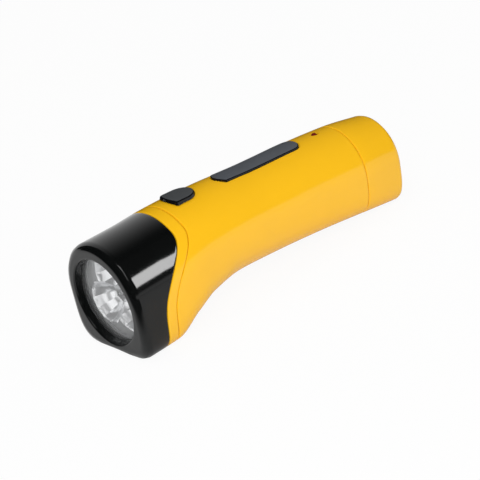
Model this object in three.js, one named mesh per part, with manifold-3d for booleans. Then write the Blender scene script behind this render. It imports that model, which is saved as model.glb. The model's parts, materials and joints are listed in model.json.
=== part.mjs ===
// Rechargeable hand torch: a black head with a three-cup reflector, a yellow handle that bends a
// little like a banana, a slide switch on top, and a pull-off tail cap over a two-pin mains plug.
// Millimetres. +X is the way the beam points, +Y the torch's left side, +Z up. The torch lies on
// its belly on Z = 0, with the origin under the middle of its length and width.
import * as THREE from "three";
import { mergeVertices } from "three/addons/utils/BufferGeometryUtils.js";
import Module from "manifold-3d";

const wasm = await Module();
wasm.setup();

// Driving dimensions of the outside
const torchLength = 154; // front face to tail end, along the lens axis
const headWidth = 50.4;
const headHeight = 51.3;
const lensAxisShare = 0.455; // of headHeight
const lensAxisHeight = lensAxisShare * headHeight; // front end of the lens axis over the table
const restFlat = 0.2; // depth of the flat under the tail where it meets the table
const tailTilt = 0.08; // how far the handle's axis has turned down at the tail, in radians
const tiltShares = { start: 0.208, run: 0.416 }; // where the handle bends, of torchLength
const tiltStart = tiltShares.start * torchLength;
const tiltLength = tiltShares.run * torchLength;
const shellWall = 2.2;
const seamGap = 0.3; // clearance between pieces that touch
const overrun = 2; // how far a cutter runs past what it cuts
const clearOfPart = 200; // how far a half space reaches

// Shares of torchLength, headHeight, headHeight and headWidth / 2 for each section from the tail
// to the face, with the roundness of its lower half: 2 is an ellipse, more is squarer.
const sectionShares = [
  { along: 1.0, top: 0.363, bottom: 0.39, half: 0.757, roundness: 3.7 },
  { along: 0.867, top: 0.428, bottom: 0.351, half: 0.815, roundness: 3.1 },
  { along: 0.692, top: 0.47, bottom: 0.311, half: 0.819, roundness: 2.6 },
  { along: 0.539, top: 0.49, bottom: 0.288, half: 0.833, roundness: 2.3 },
  { along: 0.402, top: 0.519, bottom: 0.273, half: 0.874, roundness: 2.2 },
  { along: 0.291, top: 0.529, bottom: 0.291, half: 0.916, roundness: 2.8 },
  { along: 0.208, top: 0.525, bottom: 0.355, half: 0.966, roundness: 3.7 },
  { along: 0.125, top: 0.517, bottom: 0.46, half: 0.983, roundness: 4.6 },
  { along: 0.028, top: 0.513, bottom: 0.468, half: 1.0, roundness: 4.8 },
];
const faceRound = 3.2; // radius of the rounded front edge
const tailRound = 2.2; // radius of the rounded tail edge
const archWidth = 22; // shallow arch between the two feet of the head
const archDepth = 0.9;

// Seams, as distances behind the face over the top and under the belly
const bezelTop = 31.2;
const bezelBottom = 12.4;
const collarTop = 37.1;
const collarBottom = 17.6;
const seamFoot = -22.9; // height over the lens axis where both begin to swing back
const seamRise = 44.8; // height over which they swing
const seamSkew = 2; // how much later than evenly they swing; 1 is evenly
const neckFront = 7.6; // front edge of the handle's neck inside the head
const capLength = 21.9;
const capSeam = torchLength - capLength;

// Head
const openingShare = 0.389; // of the head's width or height, whichever is less
const openingRadius = openingShare * Math.min(headWidth, headHeight);
const seatStep = 0.6; // how much narrower the opening is at the lens
const seatRadius = openingRadius - seatStep;
const seatDepth = 3.2;
const lensLedge = 1.6; // how far the lens reaches under the seat
const pocketRadius = seatRadius + lensLedge;
const pocketDepth = 6;
const lensThickness = 1.2;
const gasketThickness = 0.6;
const gasketWidth = 1;
const reflectorRim = 1.2;
const cupShares = { size: 0.495, offset: 0.454 }; // of the opening's radius
const cupRadius = cupShares.size * openingRadius;
const cupOffset = cupShares.offset * openingRadius; // cup axis from the lens axis
const cupDepth = 11;
const cupWall = 0.8;
const cupTurn = Math.PI / 2; // direction of the first cup, from +Y towards +Z
const ledRadius = 2.5;
const ledFlangeRadius = 2.9;
const ledFlange = 1;
const ledLength = 7;
const boardThickness = 1.6;
const ledBoardShare = 0.816; // of the opening's radius
const ledBoardRadius = ledBoardShare * openingRadius;
const resistorSize = { x: 1, y: 3.2, z: 1.6 };

// Switch
const knobLength = 14;
const knobWidth = 13.2;
const knobHeight = 1.9;
const knobRearHeight = 1.5;
const knobShares = { corner: 0.333, cheek: 0.125, brow: 0.8, bevel: 0.25 }; // the last of its height
const switchTilt = 0.028;
const switchTravel = 4;
const stemLength = 5;
const stemWidth = 4;
const retainerLip = 2.3; // how far it reaches past the stem
const retainerWidth = 9;
const retainerThickness = 1.2;
const actuatorSize = { x: 2.4, y: 2, z: 3 };
const slideSwitchSize = { x: 12.8, y: 6.4, z: 5.2 };
const switchBoardSize = { x: 13, y: 27, z: 1.6 };
const switchScrewSpread = 21;
const screwRadius = 1.2;
const screwHeadRadius = 2.4;
const screwHeadHeight = 1.4;
const bossRadius = 2.7;

// Label strip and charge lamp
const stripShares = { front: 0.4387, run: 0.2945 }; // of torchLength
const stripFront = stripShares.front * torchLength;
const stripLength = stripShares.run * torchLength;
const stripWidth = 11.2;
const stripProud = 0.75;
const stripRecess = 0.9;
const stripFrontBulge = 2.6;
const stripRearRadius = 4.6;
const lampAheadOfCap = 7.9;
const lampBehindFace = capSeam - lampAheadOfCap;
const lampRadius = 1.5;
const lampLength = 5;
const lampProud = 0.5;

// Battery and charger
const batteryShares = { across: 0.78, up: 0.58 }; // of the handle's hollow at its middle
const batteryRoom = { front: 7.2, rear: 1.9 }; // room for its tabs and wires, and at its back
const padShares = { along: 0.55, across: 0.62 }; // of the battery's length and width
const terminalSize = { x: 5, y: 4.8, z: 0.8 };
const chargeBoardShare = 0.75; // of the spigot's height
const capacitorSize = { x: 5.2, y: 13, z: 9 };
const diodeRadius = 1.35;
const diodeLength = 5.2;
const bleedRadius = 1.2;
const bleedLength = 6.3;
const wireDiameter = 1.4;

// Plug, in the frame of the tail
const capWall = 3; // the cap's wall at its seam
const spigotWall = 1.8;
const spigotRear = 5; // reach into the cap
const spigotFront = 6;
const plugPlateThickness = 3;
const capBoreGap = 0.4;
const capFloor = 2.2;
const pinSpacing = 12.7;
const pinWidth = 1.5;
const pinHeight = 6.35;
const pinLength = 17;
const pinRoot = 3;
const pinCollar = 0.8; // how much wider and taller a pin's collar is
const plugScrewInset = 4.5; // from the spigot's outside
const plugBossRadius = 2.1;
const notchWidth = 26;
const notchDepth = 0.7;
const notchLength = 5.2;

// Finishes
const yellowPlastic = new THREE.MeshStandardMaterial({ color: 0xfdc321, roughness: 0.32 });
const blackGloss = new THREE.MeshStandardMaterial({ color: 0x1a1b1c, roughness: 0.2 });
const blackPlastic = new THREE.MeshStandardMaterial({ color: 0x2b2d30, roughness: 0.5 });
const clearPlastic = new THREE.MeshStandardMaterial({
  color: 0xf2f6f8, roughness: 0.05, transparent: true, opacity: 0.35,
});
const mirrorCoat = new THREE.MeshStandardMaterial({ color: 0xd8dadc, roughness: 0.12, metalness: 1 });
const redLamp = new THREE.MeshStandardMaterial({ color: 0x7c1410, roughness: 0.25 });
const boardGreen = new THREE.MeshStandardMaterial({ color: 0x2c6b3f, roughness: 0.55 });
const softRubber = new THREE.MeshStandardMaterial({ color: 0x2a2a2a, roughness: 0.85 });
const darkFoam = new THREE.MeshStandardMaterial({ color: 0x3a3a3c, roughness: 0.95 });
const batteryCase = new THREE.MeshStandardMaterial({ color: 0x3d4a58, roughness: 0.5 });
const bareMetal = new THREE.MeshStandardMaterial({ color: 0xb9bcbf, roughness: 0.3, metalness: 1 });
const brass = new THREE.MeshStandardMaterial({ color: 0xc9a64b, roughness: 0.3, metalness: 1 });
const capacitorFilm = new THREE.MeshStandardMaterial({ color: 0x9c3b23, roughness: 0.4 });
const resistorBody = new THREE.MeshStandardMaterial({ color: 0xc9b188, roughness: 0.6 });
const redWire = new THREE.MeshStandardMaterial({ color: 0xb3231c, roughness: 0.5 });
const blackWire = new THREE.MeshStandardMaterial({ color: 0x1d1d1d, roughness: 0.5 });

// A closed geometry as a solid for cutting and joining.
function solid(geometry) {
  const bare = geometry.clone();
  bare.deleteAttribute("normal");
  bare.deleteAttribute("uv");
  const merged = mergeVertices(bare, 1e-4);
  return new wasm.Manifold(new wasm.Mesh({
    numProp: 3,
    vertProperties: merged.attributes.position.array,
    triVerts: new Uint32Array(merged.index.array),
  }));
}

// The geometry of a solid, with flat shaded faces.
function geometryOf(made) {
  const mesh = made.getMesh();
  const indexed = new THREE.BufferGeometry();
  indexed.setAttribute("position", new THREE.BufferAttribute(mesh.vertProperties, 3));
  indexed.setIndex(new THREE.BufferAttribute(mesh.triVerts, 1));
  const geometry = indexed.toNonIndexed();
  geometry.computeVertexNormals();
  return geometry;
}

// A smooth curve through the sections' shares that never overshoots them.
function smoothShare(key, along) {
  const points = sectionShares.map((s) => [1 - s.along, s[key]]);
  const last = points.length - 1;
  const at = Math.min(Math.max(1 - along, points[0][0]), points[last][0]);
  const step = (i) => points[i + 1][0] - points[i][0];
  const slope = (i) => (points[i + 1][1] - points[i][1]) / step(i);
  const tangent = (i) => {
    if (i === 0) return slope(0);
    if (i === last) return slope(last - 1);
    if (slope(i - 1) * slope(i) <= 0) return 0;
    const before = 2 * step(i) + step(i - 1);
    const after = step(i) + 2 * step(i - 1);
    return (before + after) / (before / slope(i - 1) + after / slope(i));
  };
  let i = 0;
  while (i < last - 1 && at > points[i + 1][0]) i += 1;
  const t = (at - points[i][0]) / step(i);
  const rise = t * t * (3 - 2 * t);
  return (
    points[i][1] * (1 - rise) + points[i + 1][1] * rise +
    step(i) * t * (1 - t) * (tangent(i) * (1 - t) - tangent(i + 1) * t)
  );
}

// The handle's lean at a place behind the face, in radians.
function leanAt(behind) {
  return tailTilt * Math.min(Math.max((behind - tiltStart) / tiltLength, 0), 1);
}

// Centre, half sizes and squareness of the outside at a place behind the face.
function sectionAt(behind) {
  const along = behind / torchLength;
  const top = smoothShare("top", along) * headHeight;
  const bottom = -smoothShare("bottom", along) * headHeight;
  return {
    centre: (top + bottom) / 2,
    halfHeight: (top - bottom) / 2,
    halfWidth: (smoothShare("half", along) * headWidth) / 2,
    roundness: smoothShare("roundness", along),
  };
}

// One ring of the handle, drawn in by inset all round.
function ringAt(behind, inset, sides) {
  const { centre, halfHeight, halfWidth, roundness } = sectionAt(behind);
  const lean = leanAt(behind);
  const ring = [];
  for (let side = 0; side < sides; side += 1) {
    const angle = (side / sides) * 2 * Math.PI;
    const c = Math.cos(angle);
    const s = Math.sin(angle);
    const power = s < -1e-9 ? 2 / roundness : 1;
    const y = Math.sign(c) * Math.abs(c) ** power * (halfWidth - inset);
    const z = Math.sign(s) * Math.abs(s) ** power * (halfHeight - inset);
    ring.push([-behind - Math.sin(lean) * z, y, centre + Math.cos(lean) * z]);
  }
  return ring;
}

// A closed skin over rings that run from front to back, with a fan over each end.
function skin(rings) {
  const sides = rings[0].length;
  const middle = (ring) => [0, 1, 2].map((k) => ring.reduce((sum, p) => sum + p[k], 0) / sides);
  const places = [...rings.flat(), middle(rings[0]), middle(rings[rings.length - 1])];
  const frontPole = rings.length * sides;
  const index = [];
  for (let i = 0; i < sides; i += 1) {
    const next = (i + 1) % sides;
    for (let r = 0; r + 1 < rings.length; r += 1) {
      const a = r * sides;
      const b = a + sides;
      index.push(a + i, b + i, b + next, a + i, b + next, a + next);
    }
    const back = (rings.length - 1) * sides;
    index.push(frontPole, i, next, frontPole + 1, back + next, back + i);
  }
  const geometry = new THREE.BufferGeometry();
  geometry.setAttribute("position", new THREE.Float32BufferAttribute(places.flat(), 3));
  geometry.setIndex(index);
  return geometry.toNonIndexed();
}

// The outside, with rounded front and tail edges, moved in or out by inset.
function outside(inset, sides = 36) {
  const rings = [];
  const edgeSteps = 3;
  for (let i = 0; i <= edgeSteps; i += 1) {
    const turn = (i / edgeSteps) * (Math.PI / 2);
    const drawnIn = faceRound * (1 - Math.sin(turn));
    rings.push(ringAt(faceRound * (1 - Math.cos(turn)), inset + drawnIn, sides));
  }
  const steps = 20;
  for (let i = 1; i < steps; i += 1) {
    const behind = faceRound + ((torchLength - faceRound - tailRound) * i) / steps;
    rings.push(ringAt(behind, inset, sides));
  }
  for (let i = 0; i <= edgeSteps; i += 1) {
    const turn = (i / edgeSteps) * (Math.PI / 2);
    const drawnIn = tailRound * (1 - Math.cos(turn));
    rings.push(ringAt(torchLength - tailRound * (1 - Math.sin(turn)), inset + drawnIn, sides));
  }
  return solid(skin(rings));
}

// The hollow between two places behind the face, drawn in from the outside.
function hollow(front, back, inset, steps = 7, sides = 24) {
  const rings = [];
  for (let i = 0; i <= steps; i += 1) {
    rings.push(ringAt(front + ((back - front) * i) / steps, inset, sides));
  }
  return solid(skin(rings));
}

// A closed outline in the X-Z plane, as wide as the torch and more.
function sideProfile(points) {
  const shape = new THREE.Shape(points.map(([x, z]) => new THREE.Vector2(x, z)));
  const geometry = new THREE.ExtrudeGeometry(shape, { depth: 2 * headWidth, bevelEnabled: false });
  return geometry.translate(0, 0, -headWidth).rotateX(Math.PI / 2);
}

// Everything ahead of an S-shaped seam; setBack moves the whole seam backwards.
function aheadOfSeam(top, bottom, setBack) {
  const steps = 14;
  const points = [[headWidth, -headHeight], [headWidth, headHeight], [-top - setBack, headHeight]];
  for (let i = 0; i <= steps; i += 1) {
    const up = 1 - i / steps;
    const t = up ** seamSkew;
    const swing = t * t * (3 - 2 * t);
    points.push([-(bottom + (top - bottom) * swing) - setBack, seamFoot + up * seamRise]);
  }
  points.push([-bottom - setBack, -headHeight]);
  return solid(sideProfile(points.reverse()));
}

const aheadOfBezelSeam = (setBack) => aheadOfSeam(bezelTop, bezelBottom, setBack);
const aheadOfCollarSeam = (setBack) => aheadOfSeam(collarTop, collarBottom, setBack);

function box(x, y, z) {
  return new THREE.BoxGeometry(x, y, z);
}

// A cylinder along X, with its middle at the origin.
function rod(radius, length, sides = 16) {
  return new THREE.CylinderGeometry(radius, radius, length, sides).rotateZ(-Math.PI / 2);
}

// A cylinder along Z, with its middle at the origin.
function post(radius, length, sides = 16) {
  return new THREE.CylinderGeometry(radius, radius, length, sides).rotateX(Math.PI / 2);
}

// Frames: the tail's origin is the middle of the cap seam, the switch's is on top over the knob's
// stem, the battery's is its middle. Each one's X axis leans with the handle there. The table's
// lies under the front face; the table touches the feet of the head and the flat under the tail.
const tailSection = sectionAt(capSeam);
const tailPlace = new THREE.Vector3(-capSeam, 0, tailSection.centre);
const tailFrame = new THREE.Matrix4().makeRotationY(-tailTilt).setPosition(tailPlace);
const restBehind = torchLength - tailRound;
const restSection = sectionAt(restBehind);
const restDrop = Math.cos(tailTilt) * restSection.halfHeight - restSection.centre - restFlat;
const restReach = restBehind - Math.sin(tailTilt) * restSection.halfHeight;
const restTilt = Math.atan((lensAxisHeight - restDrop) / restReach);
const tableFrame = new THREE.Matrix4().makeRotationY(restTilt).setPosition(0, 0, -lensAxisHeight);
const retainerReach = stemLength / 2 + retainerLip;
const stemBehindFace = collarTop + shellWall + 2 * seamGap + switchTravel + retainerReach;
const stemSection = sectionAt(stemBehindFace);
const switchPlace = new THREE.Vector3(
  -stemBehindFace, 0, stemSection.centre + stemSection.halfHeight,
);
const switchFrame = new THREE.Matrix4().makeRotationY(-switchTilt).setPosition(switchPlace);

// The spigot under the cap's wall, and how far the charger's pieces reach ahead of the cap seam
const spigotHalfWidth = tailSection.halfWidth - capWall - capBoreGap;
const spigotHalfHeight = tailSection.halfHeight - capWall - capBoreGap;
const plugScrewSpread = 2 * (spigotHalfWidth - plugScrewInset);
const boardBehind = spigotFront + 2 * seamGap + pinRoot;
const boardFace = boardBehind + boardThickness + seamGap;

// The battery lies between the switch board and the charger, along the line through the middles
// of the two sections at its ends.
const batteryFront = stemBehindFace + (switchBoardSize.x - switchTravel) / 2 + batteryRoom.front;
const batteryRear = capSeam - boardFace - capacitorSize.x - batteryRoom.rear;
const batteryMiddle = (batteryFront + batteryRear) / 2;
const batterySection = sectionAt(batteryMiddle);
const batterySize = {
  x: batteryRear - batteryFront,
  y: 2 * batteryShares.across * (batterySection.halfWidth - shellWall),
  z: 2 * batteryShares.up * (batterySection.halfHeight - shellWall),
};
const frontCentre = sectionAt(batteryFront).centre;
const rearCentre = sectionAt(batteryRear).centre;
const batteryTilt = Math.atan((frontCentre - rearCentre) / batterySize.x);
const batteryPlace = new THREE.Vector3(-batteryMiddle, 0, (frontCentre + rearCentre) / 2);
const batteryFrame = new THREE.Matrix4().makeRotationY(-batteryTilt).setPosition(batteryPlace);

// Levels of the switch's pieces, one under the other, below the top of the handle
const retainerSag = retainerWidth ** 2 / (6 * stemSection.halfWidth);
const retainerTop = -(shellWall + seamGap + retainerSag);
const retainerFoot = retainerTop - retainerThickness;
const actuatorTop = retainerFoot - seamGap;
const slideSwitchTop = actuatorTop - actuatorSize.z - seamGap;
const switchBoardTop = slideSwitchTop - slideSwitchSize.z - seamGap;

// A geometry moved within a frame and then put where the frame lies.
function placed(frame, geometry, x = 0, y = 0, z = 0) {
  return solid(geometry.translate(x, y, z).applyMatrix4(frame));
}

const behindCapSeam = (gap) =>
  placed(tailFrame, box(clearOfPart, clearOfPart, clearOfPart), -clearOfPart / 2 - gap);
const underTable = placed(
  tableFrame, box(2 * clearOfPart, clearOfPart, clearOfPart), 0, 0, -clearOfPart / 2,
);

// An ellipse along the tail's axis, from front to rear in the tail's frame.
function tailEllipse(halfWidth, halfHeight, front, rear) {
  const geometry = rod(1, front - rear, 32).scale(1, halfWidth, halfHeight);
  return placed(tailFrame, geometry, (front + rear) / 2);
}

// The arch between the feet: a wide cylinder under the head, along X.
function footArch() {
  const radius = ((archWidth / 2) ** 2 + archDepth ** 2) / (2 * archDepth);
  return placed(tableFrame, rod(radius, 2 * bezelTop, 120), -bezelTop / 2, 0, archDepth - radius);
}

const outerBody = outside(0).subtract(underTable).subtract(footArch());

function makeBezel() {
  const opening = new THREE.LatheGeometry([
    new THREE.Vector2(0, overrun),
    new THREE.Vector2(openingRadius, overrun),
    new THREE.Vector2(openingRadius, 0),
    new THREE.Vector2(seatRadius, -seatDepth),
    new THREE.Vector2(seatRadius, -seatDepth - overrun),
    new THREE.Vector2(0, -seatDepth - overrun),
  ].reverse(), 40).rotateZ(-Math.PI / 2);
  const pocket = rod(pocketRadius, pocketDepth - seatDepth + overrun, 40)
    .translate(-(pocketDepth + seatDepth + overrun) / 2, 0, 0);
  return outerBody
    .intersect(aheadOfBezelSeam(0))
    .subtract(solid(opening))
    .subtract(solid(pocket))
    .subtract(hollow(pocketDepth, collarTop + overrun, shellWall));
}

function makeCollar() {
  return outerBody
    .subtract(aheadOfBezelSeam(seamGap))
    .intersect(aheadOfCollarSeam(0))
    .subtract(hollow(pocketDepth, collarTop + overrun, shellWall));
}

// The label strip's outline on top of the handle, widened by grow all round.
function stripOutline(grow) {
  const front = -stripFront + grow;
  const rear = front - stripLength - 2 * grow;
  const half = stripWidth / 2 + grow;
  const radius = stripRearRadius + grow;
  const shape = new THREE.Shape();
  shape.moveTo(front - stripFrontBulge, half);
  shape.quadraticCurveTo(front + stripFrontBulge, 0, front - stripFrontBulge, -half);
  shape.lineTo(rear + radius, -half);
  shape.quadraticCurveTo(rear, -half, rear, 0);
  shape.quadraticCurveTo(rear, half, rear + radius, half);
  const geometry = new THREE.ExtrudeGeometry(shape, {
    depth: headHeight, bevelEnabled: false, curveSegments: 8,
  });
  return solid(geometry);
}

function makeLabelStrip() {
  const skinOver = outside(-stripProud).subtract(outside(stripRecess - seamGap));
  return skinOver.intersect(stripOutline(0));
}

// Posts inside the top wall that the switch board screws to, and behind the plug plate.
function shellBosses() {
  const height = -switchBoardTop - seamGap;
  const pieces = [];
  for (const side of [-1, 1]) {
    pieces.push(placed(
      switchFrame, post(bossRadius, height, 16),
      switchTravel / 2, (side * switchScrewSpread) / 2, -height / 2,
    ));
    const length = spigotFront;
    const reach = spigotHalfWidth - plugScrewSpread / 2;
    pieces.push(placed(
      tailFrame, rod(plugBossRadius, length, 16),
      spigotFront + seamGap + length / 2, (side * plugScrewSpread) / 2, 0,
    ));
    pieces.push(placed(
      tailFrame, box(length, reach + shellWall, shellWall),
      spigotFront + seamGap + length / 2, side * (plugScrewSpread / 2 + (reach + shellWall) / 2), 0,
    ));
  }
  return pieces.reduce((all, piece) => all.add(piece)).intersect(outside(shellWall / 2));
}

function makeBodyShell() {
  const neck = hollow(neckFront, collarTop + overrun, shellWall + seamGap)
    .intersect(aheadOfCollarSeam(seamGap + overrun));
  const handle = outerBody.subtract(aheadOfCollarSeam(seamGap)).subtract(behindCapSeam(0));
  const neckHollow = hollow(
    neckFront - overrun, collarTop + 2 * overrun, 2 * shellWall + seamGap,
  );
  const handleHollow = hollow(collarBottom, torchLength, shellWall, 13)
    .subtract(aheadOfCollarSeam(seamGap + shellWall));
  const slot = placed(
    switchFrame,
    box(stemLength + switchTravel + 2 * seamGap, stemWidth + 2 * seamGap, 4 * shellWall),
    switchTravel / 2,
  );
  const lampSection = sectionAt(lampBehindFace);
  const lampTop = lampSection.centre + lampSection.halfHeight;
  const lampHole = solid(
    post(lampRadius + seamGap / 2, 4 * shellWall, 20)
      .rotateY(-tailTilt).translate(-lampBehindFace, 0, lampTop),
  );
  const recess = stripOutline(seamGap).subtract(outside(stripRecess));
  const bossBores = [-1, 1].map((side) => placed(
    switchFrame, post(screwRadius + seamGap / 2, 2 * slideSwitchSize.z, 16),
    switchTravel / 2, (side * switchScrewSpread) / 2, switchBoardTop,
  )).concat([-1, 1].map((side) => placed(
    tailFrame, rod(screwRadius + seamGap / 2, 2 * spigotFront, 16),
    spigotFront, (side * plugScrewSpread) / 2, 0,
  )));
  let shell = handle.add(neck).subtract(neckHollow).subtract(handleHollow).add(shellBosses());
  for (const cut of [slot, lampHole, recess, ...bossBores]) shell = shell.subtract(cut);
  return shell;
}

// The knob: a low block with a blunt front and a round rear, hollowed to sit over the handle,
// with a stem that goes down through the slot.
function makeKnob() {
  const half = knobWidth / 2;
  const front = knobLength / 2;
  const shape = new THREE.Shape();
  const corner = knobShares.corner * half;
  const cheek = knobShares.cheek * half;
  const brow = knobShares.brow * half;
  shape.moveTo(front - corner, -half);
  shape.lineTo(front - cheek, -brow);
  shape.quadraticCurveTo(front + cheek, 0, front - cheek, brow);
  shape.lineTo(front - corner, half);
  shape.lineTo(-front + half, half);
  shape.absarc(-front + half, 0, half, Math.PI / 2, (3 * Math.PI) / 2, false);
  const bevel = knobShares.bevel * knobHeight;
  const blank = new THREE.ExtrudeGeometry(shape, {
    depth: 2 * knobHeight - bevel, curveSegments: 8,
    bevelEnabled: true, bevelThickness: bevel, bevelSize: bevel, bevelOffset: -bevel, bevelSegments: 2,
  }).translate(0, 0, -knobHeight);
  const slope = Math.atan((knobHeight - knobRearHeight) / knobLength);
  const above = box(2 * knobLength, 2 * knobWidth, knobHeight)
    .translate(0, 0, knobHeight / 2).rotateY(-slope)
    .translate(0, 0, (knobHeight + knobRearHeight) / 2);
  const stem = box(stemLength, stemWidth, knobRearHeight - retainerFoot - bevel);
  const stemMiddle = (knobRearHeight + retainerFoot - bevel) / 2;
  return placed(switchFrame, blank)
    .subtract(placed(switchFrame, above))
    .subtract(outside(-seamGap))
    .add(placed(switchFrame, stem, 0, 0, stemMiddle));
}

// The reflector: a rim with three cups let into it, each open at the bottom for its light.
function makeReflector() {
  const throat = ledRadius + seamGap;
  const cupAt = (i, grow, front) => {
    const points = [new THREE.Vector2(0, front), new THREE.Vector2(cupRadius + grow, front)];
    const steps = 5;
    for (let k = 0; k <= steps; k += 1) {
      const radius = throat + (cupRadius - throat) * Math.sqrt(1 - k / steps);
      points.push(new THREE.Vector2(radius + grow, (-k / steps) * cupDepth));
    }
    points.push(new THREE.Vector2(0, -cupDepth));
    const outline = front > 0 ? points : points.slice(1);
    if (front === 0) outline[0].set(0, 0);
    const turn = cupTurn + (i * 2 * Math.PI) / 3;
    return solid(
      new THREE.LatheGeometry(outline.reverse(), 20).rotateZ(-Math.PI / 2)
        .translate(0, cupOffset * Math.cos(turn), cupOffset * Math.sin(turn)),
    );
  };
  const throatAt = (i) => {
    const turn = cupTurn + (i * 2 * Math.PI) / 3;
    return solid(
      rod(throat, 4 * cupDepth, 24)
        .translate(0, cupOffset * Math.cos(turn), cupOffset * Math.sin(turn)),
    );
  };
  const rim = rod(pocketRadius - 2 * seamGap, reflectorRim, 40).translate(-reflectorRim / 2, 0, 0);
  let made = solid(rim);
  for (const i of [0, 1, 2]) made = made.add(cupAt(i, cupWall, 0));
  for (const i of [0, 1, 2]) made = made.subtract(cupAt(i, 0, overrun)).subtract(throatAt(i));
  return made;
}

const lensFront = -seatDepth - seamGap;
const gasketFront = lensFront - lensThickness - seamGap;
const reflectorFront = gasketFront - gasketThickness - seamGap;
const reflectorBack = reflectorFront - cupDepth;

function makeLed() {
  const tip = ledRadius;
  const points = [
    new THREE.Vector2(0, 0),
    new THREE.Vector2(ledFlangeRadius, 0),
    new THREE.Vector2(ledFlangeRadius, ledFlange),
    new THREE.Vector2(ledRadius, ledFlange),
  ];
  const steps = 3;
  for (let i = 0; i <= steps; i += 1) {
    const turn = (i / steps) * (Math.PI / 2);
    points.push(new THREE.Vector2(
      i === steps ? 0 : ledRadius * Math.cos(turn), ledLength - tip + tip * Math.sin(turn),
    ));
  }
  return new THREE.LatheGeometry(points, 16).rotateZ(-Math.PI / 2);
}

function makeTailCap() {
  const floorAt = capSeam - torchLength + capFloor;
  const bore = tailEllipse(
    spigotHalfWidth + capBoreGap, spigotHalfHeight + capBoreGap, overrun, floorAt,
  );
  const notch = placed(
    tailFrame, box(2 * notchLength, notchWidth, tailSection.halfHeight),
    -seamGap, 0, -tailSection.halfHeight,
  ).subtract(outside(notchDepth));
  return outerBody.intersect(behindCapSeam(seamGap)).subtract(bore).subtract(notch);
}

const plateRear = spigotFront - seamGap - plugPlateThickness;

function makePlugBase() {
  const ring = tailEllipse(spigotHalfWidth, spigotHalfHeight, spigotFront, -spigotRear)
    .subtract(tailEllipse(
      spigotHalfWidth - spigotWall, spigotHalfHeight - spigotWall, spigotFront + overrun,
      -spigotRear - overrun,
    ));
  const plate = tailEllipse(
    spigotHalfWidth - spigotWall / 2, spigotHalfHeight - spigotWall / 2, spigotFront, plateRear,
  );
  let made = ring.add(plate);
  for (const side of [-1, 1]) {
    made = made.subtract(placed(
      tailFrame, box(clearOfPart, pinWidth + 2 * seamGap, pinHeight + 2 * seamGap),
      0, (side * pinSpacing) / 2, 0,
    )).subtract(placed(
      tailFrame, rod(screwRadius + seamGap, clearOfPart, 16), 0, (side * plugScrewSpread) / 2, 0,
    ));
  }
  return made;
}

// A pin with a collar in front of the plate, in the tail's frame.
function makePin() {
  const blade = box(pinLength + plugPlateThickness + pinRoot, pinWidth, pinHeight)
    .translate((plugPlateThickness + pinRoot - pinLength) / 2 + plateRear, 0, 0);
  const collar = box(pinRoot - seamGap, pinWidth + pinCollar, pinHeight + 2 * pinCollar)
    .translate(spigotFront + (pinRoot + seamGap) / 2, 0, 0);
  return geometryOf(solid(blade).add(solid(collar)));
}

// A screw along Z with its head down, its head's upper face at the origin.
function makeScrew(length) {
  const whole = length + screwHeadHeight / 2;
  const shank = solid(post(screwRadius, whole, 12).translate(0, 0, length - whole / 2));
  const head = solid(
    post(screwHeadRadius, screwHeadHeight, 16).translate(0, 0, -screwHeadHeight / 2),
  );
  return geometryOf(shank.add(head));
}

// A foam pad between the battery and the wall, above it (side 1) or below it (side -1).
function makePad(side) {
  const slab = placed(
    batteryFrame, box(padShares.along * batterySize.x, padShares.across * batterySize.y, headHeight),
    0, 0, side * (batterySize.z / 2 + seamGap + headHeight / 2),
  );
  return slab.intersect(hollow(collarTop, capSeam, shellWall + seamGap, 13));
}

// A wire of round section through a list of places.
function makeWire(places) {
  const shape = new THREE.Shape();
  shape.absarc(0, 0, wireDiameter / 2, 0, 2 * Math.PI, false);
  return new THREE.ExtrudeGeometry(shape, {
    extrudePath: new THREE.CatmullRomCurve3(places),
    steps: 4 * places.length,
    curveSegments: 3,
    bevelEnabled: false,
  });
}

function mesh(name, geometry, material) {
  const made = new THREE.Mesh(geometry, material);
  made.name = name;
  return made;
}

const torch = new THREE.Group();
const fixed = (name, made, material) => torch.add(mesh(name, geometryOf(made), material));

fixed("bezel", makeBezel(), blackGloss);
fixed("head_collar", makeCollar(), yellowPlastic);
fixed("body_shell", makeBodyShell(), yellowPlastic);
fixed("label_strip", makeLabelStrip(), blackPlastic);
fixed("switch_knob", makeKnob(), blackPlastic);
fixed("tail_cap", makeTailCap(), yellowPlastic);
fixed("plug_base", makePlugBase(), blackPlastic);
fixed("battery_pad_top", makePad(1), darkFoam);
fixed("battery_pad_bottom", makePad(-1), darkFoam);

// Head, on the lens axis
const lens = mesh("lens", rod(pocketRadius - seamGap, lensThickness, 40), clearPlastic);
lens.position.x = lensFront - lensThickness / 2;
const gasketShape = new THREE.LatheGeometry([
  new THREE.Vector2(pocketRadius - seamGap - gasketWidth, 0),
  new THREE.Vector2(pocketRadius - seamGap, 0),
  new THREE.Vector2(pocketRadius - seamGap, gasketThickness),
  new THREE.Vector2(pocketRadius - seamGap - gasketWidth, gasketThickness),
  new THREE.Vector2(pocketRadius - seamGap - gasketWidth, 0),
], 40).rotateZ(-Math.PI / 2);
const gasket = mesh("lens_gasket", gasketShape, softRubber);
gasket.position.x = gasketFront - gasketThickness;
const reflector = mesh("reflector", geometryOf(makeReflector()), mirrorCoat);
reflector.position.x = reflectorFront;
torch.add(lens, gasket, reflector);

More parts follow.
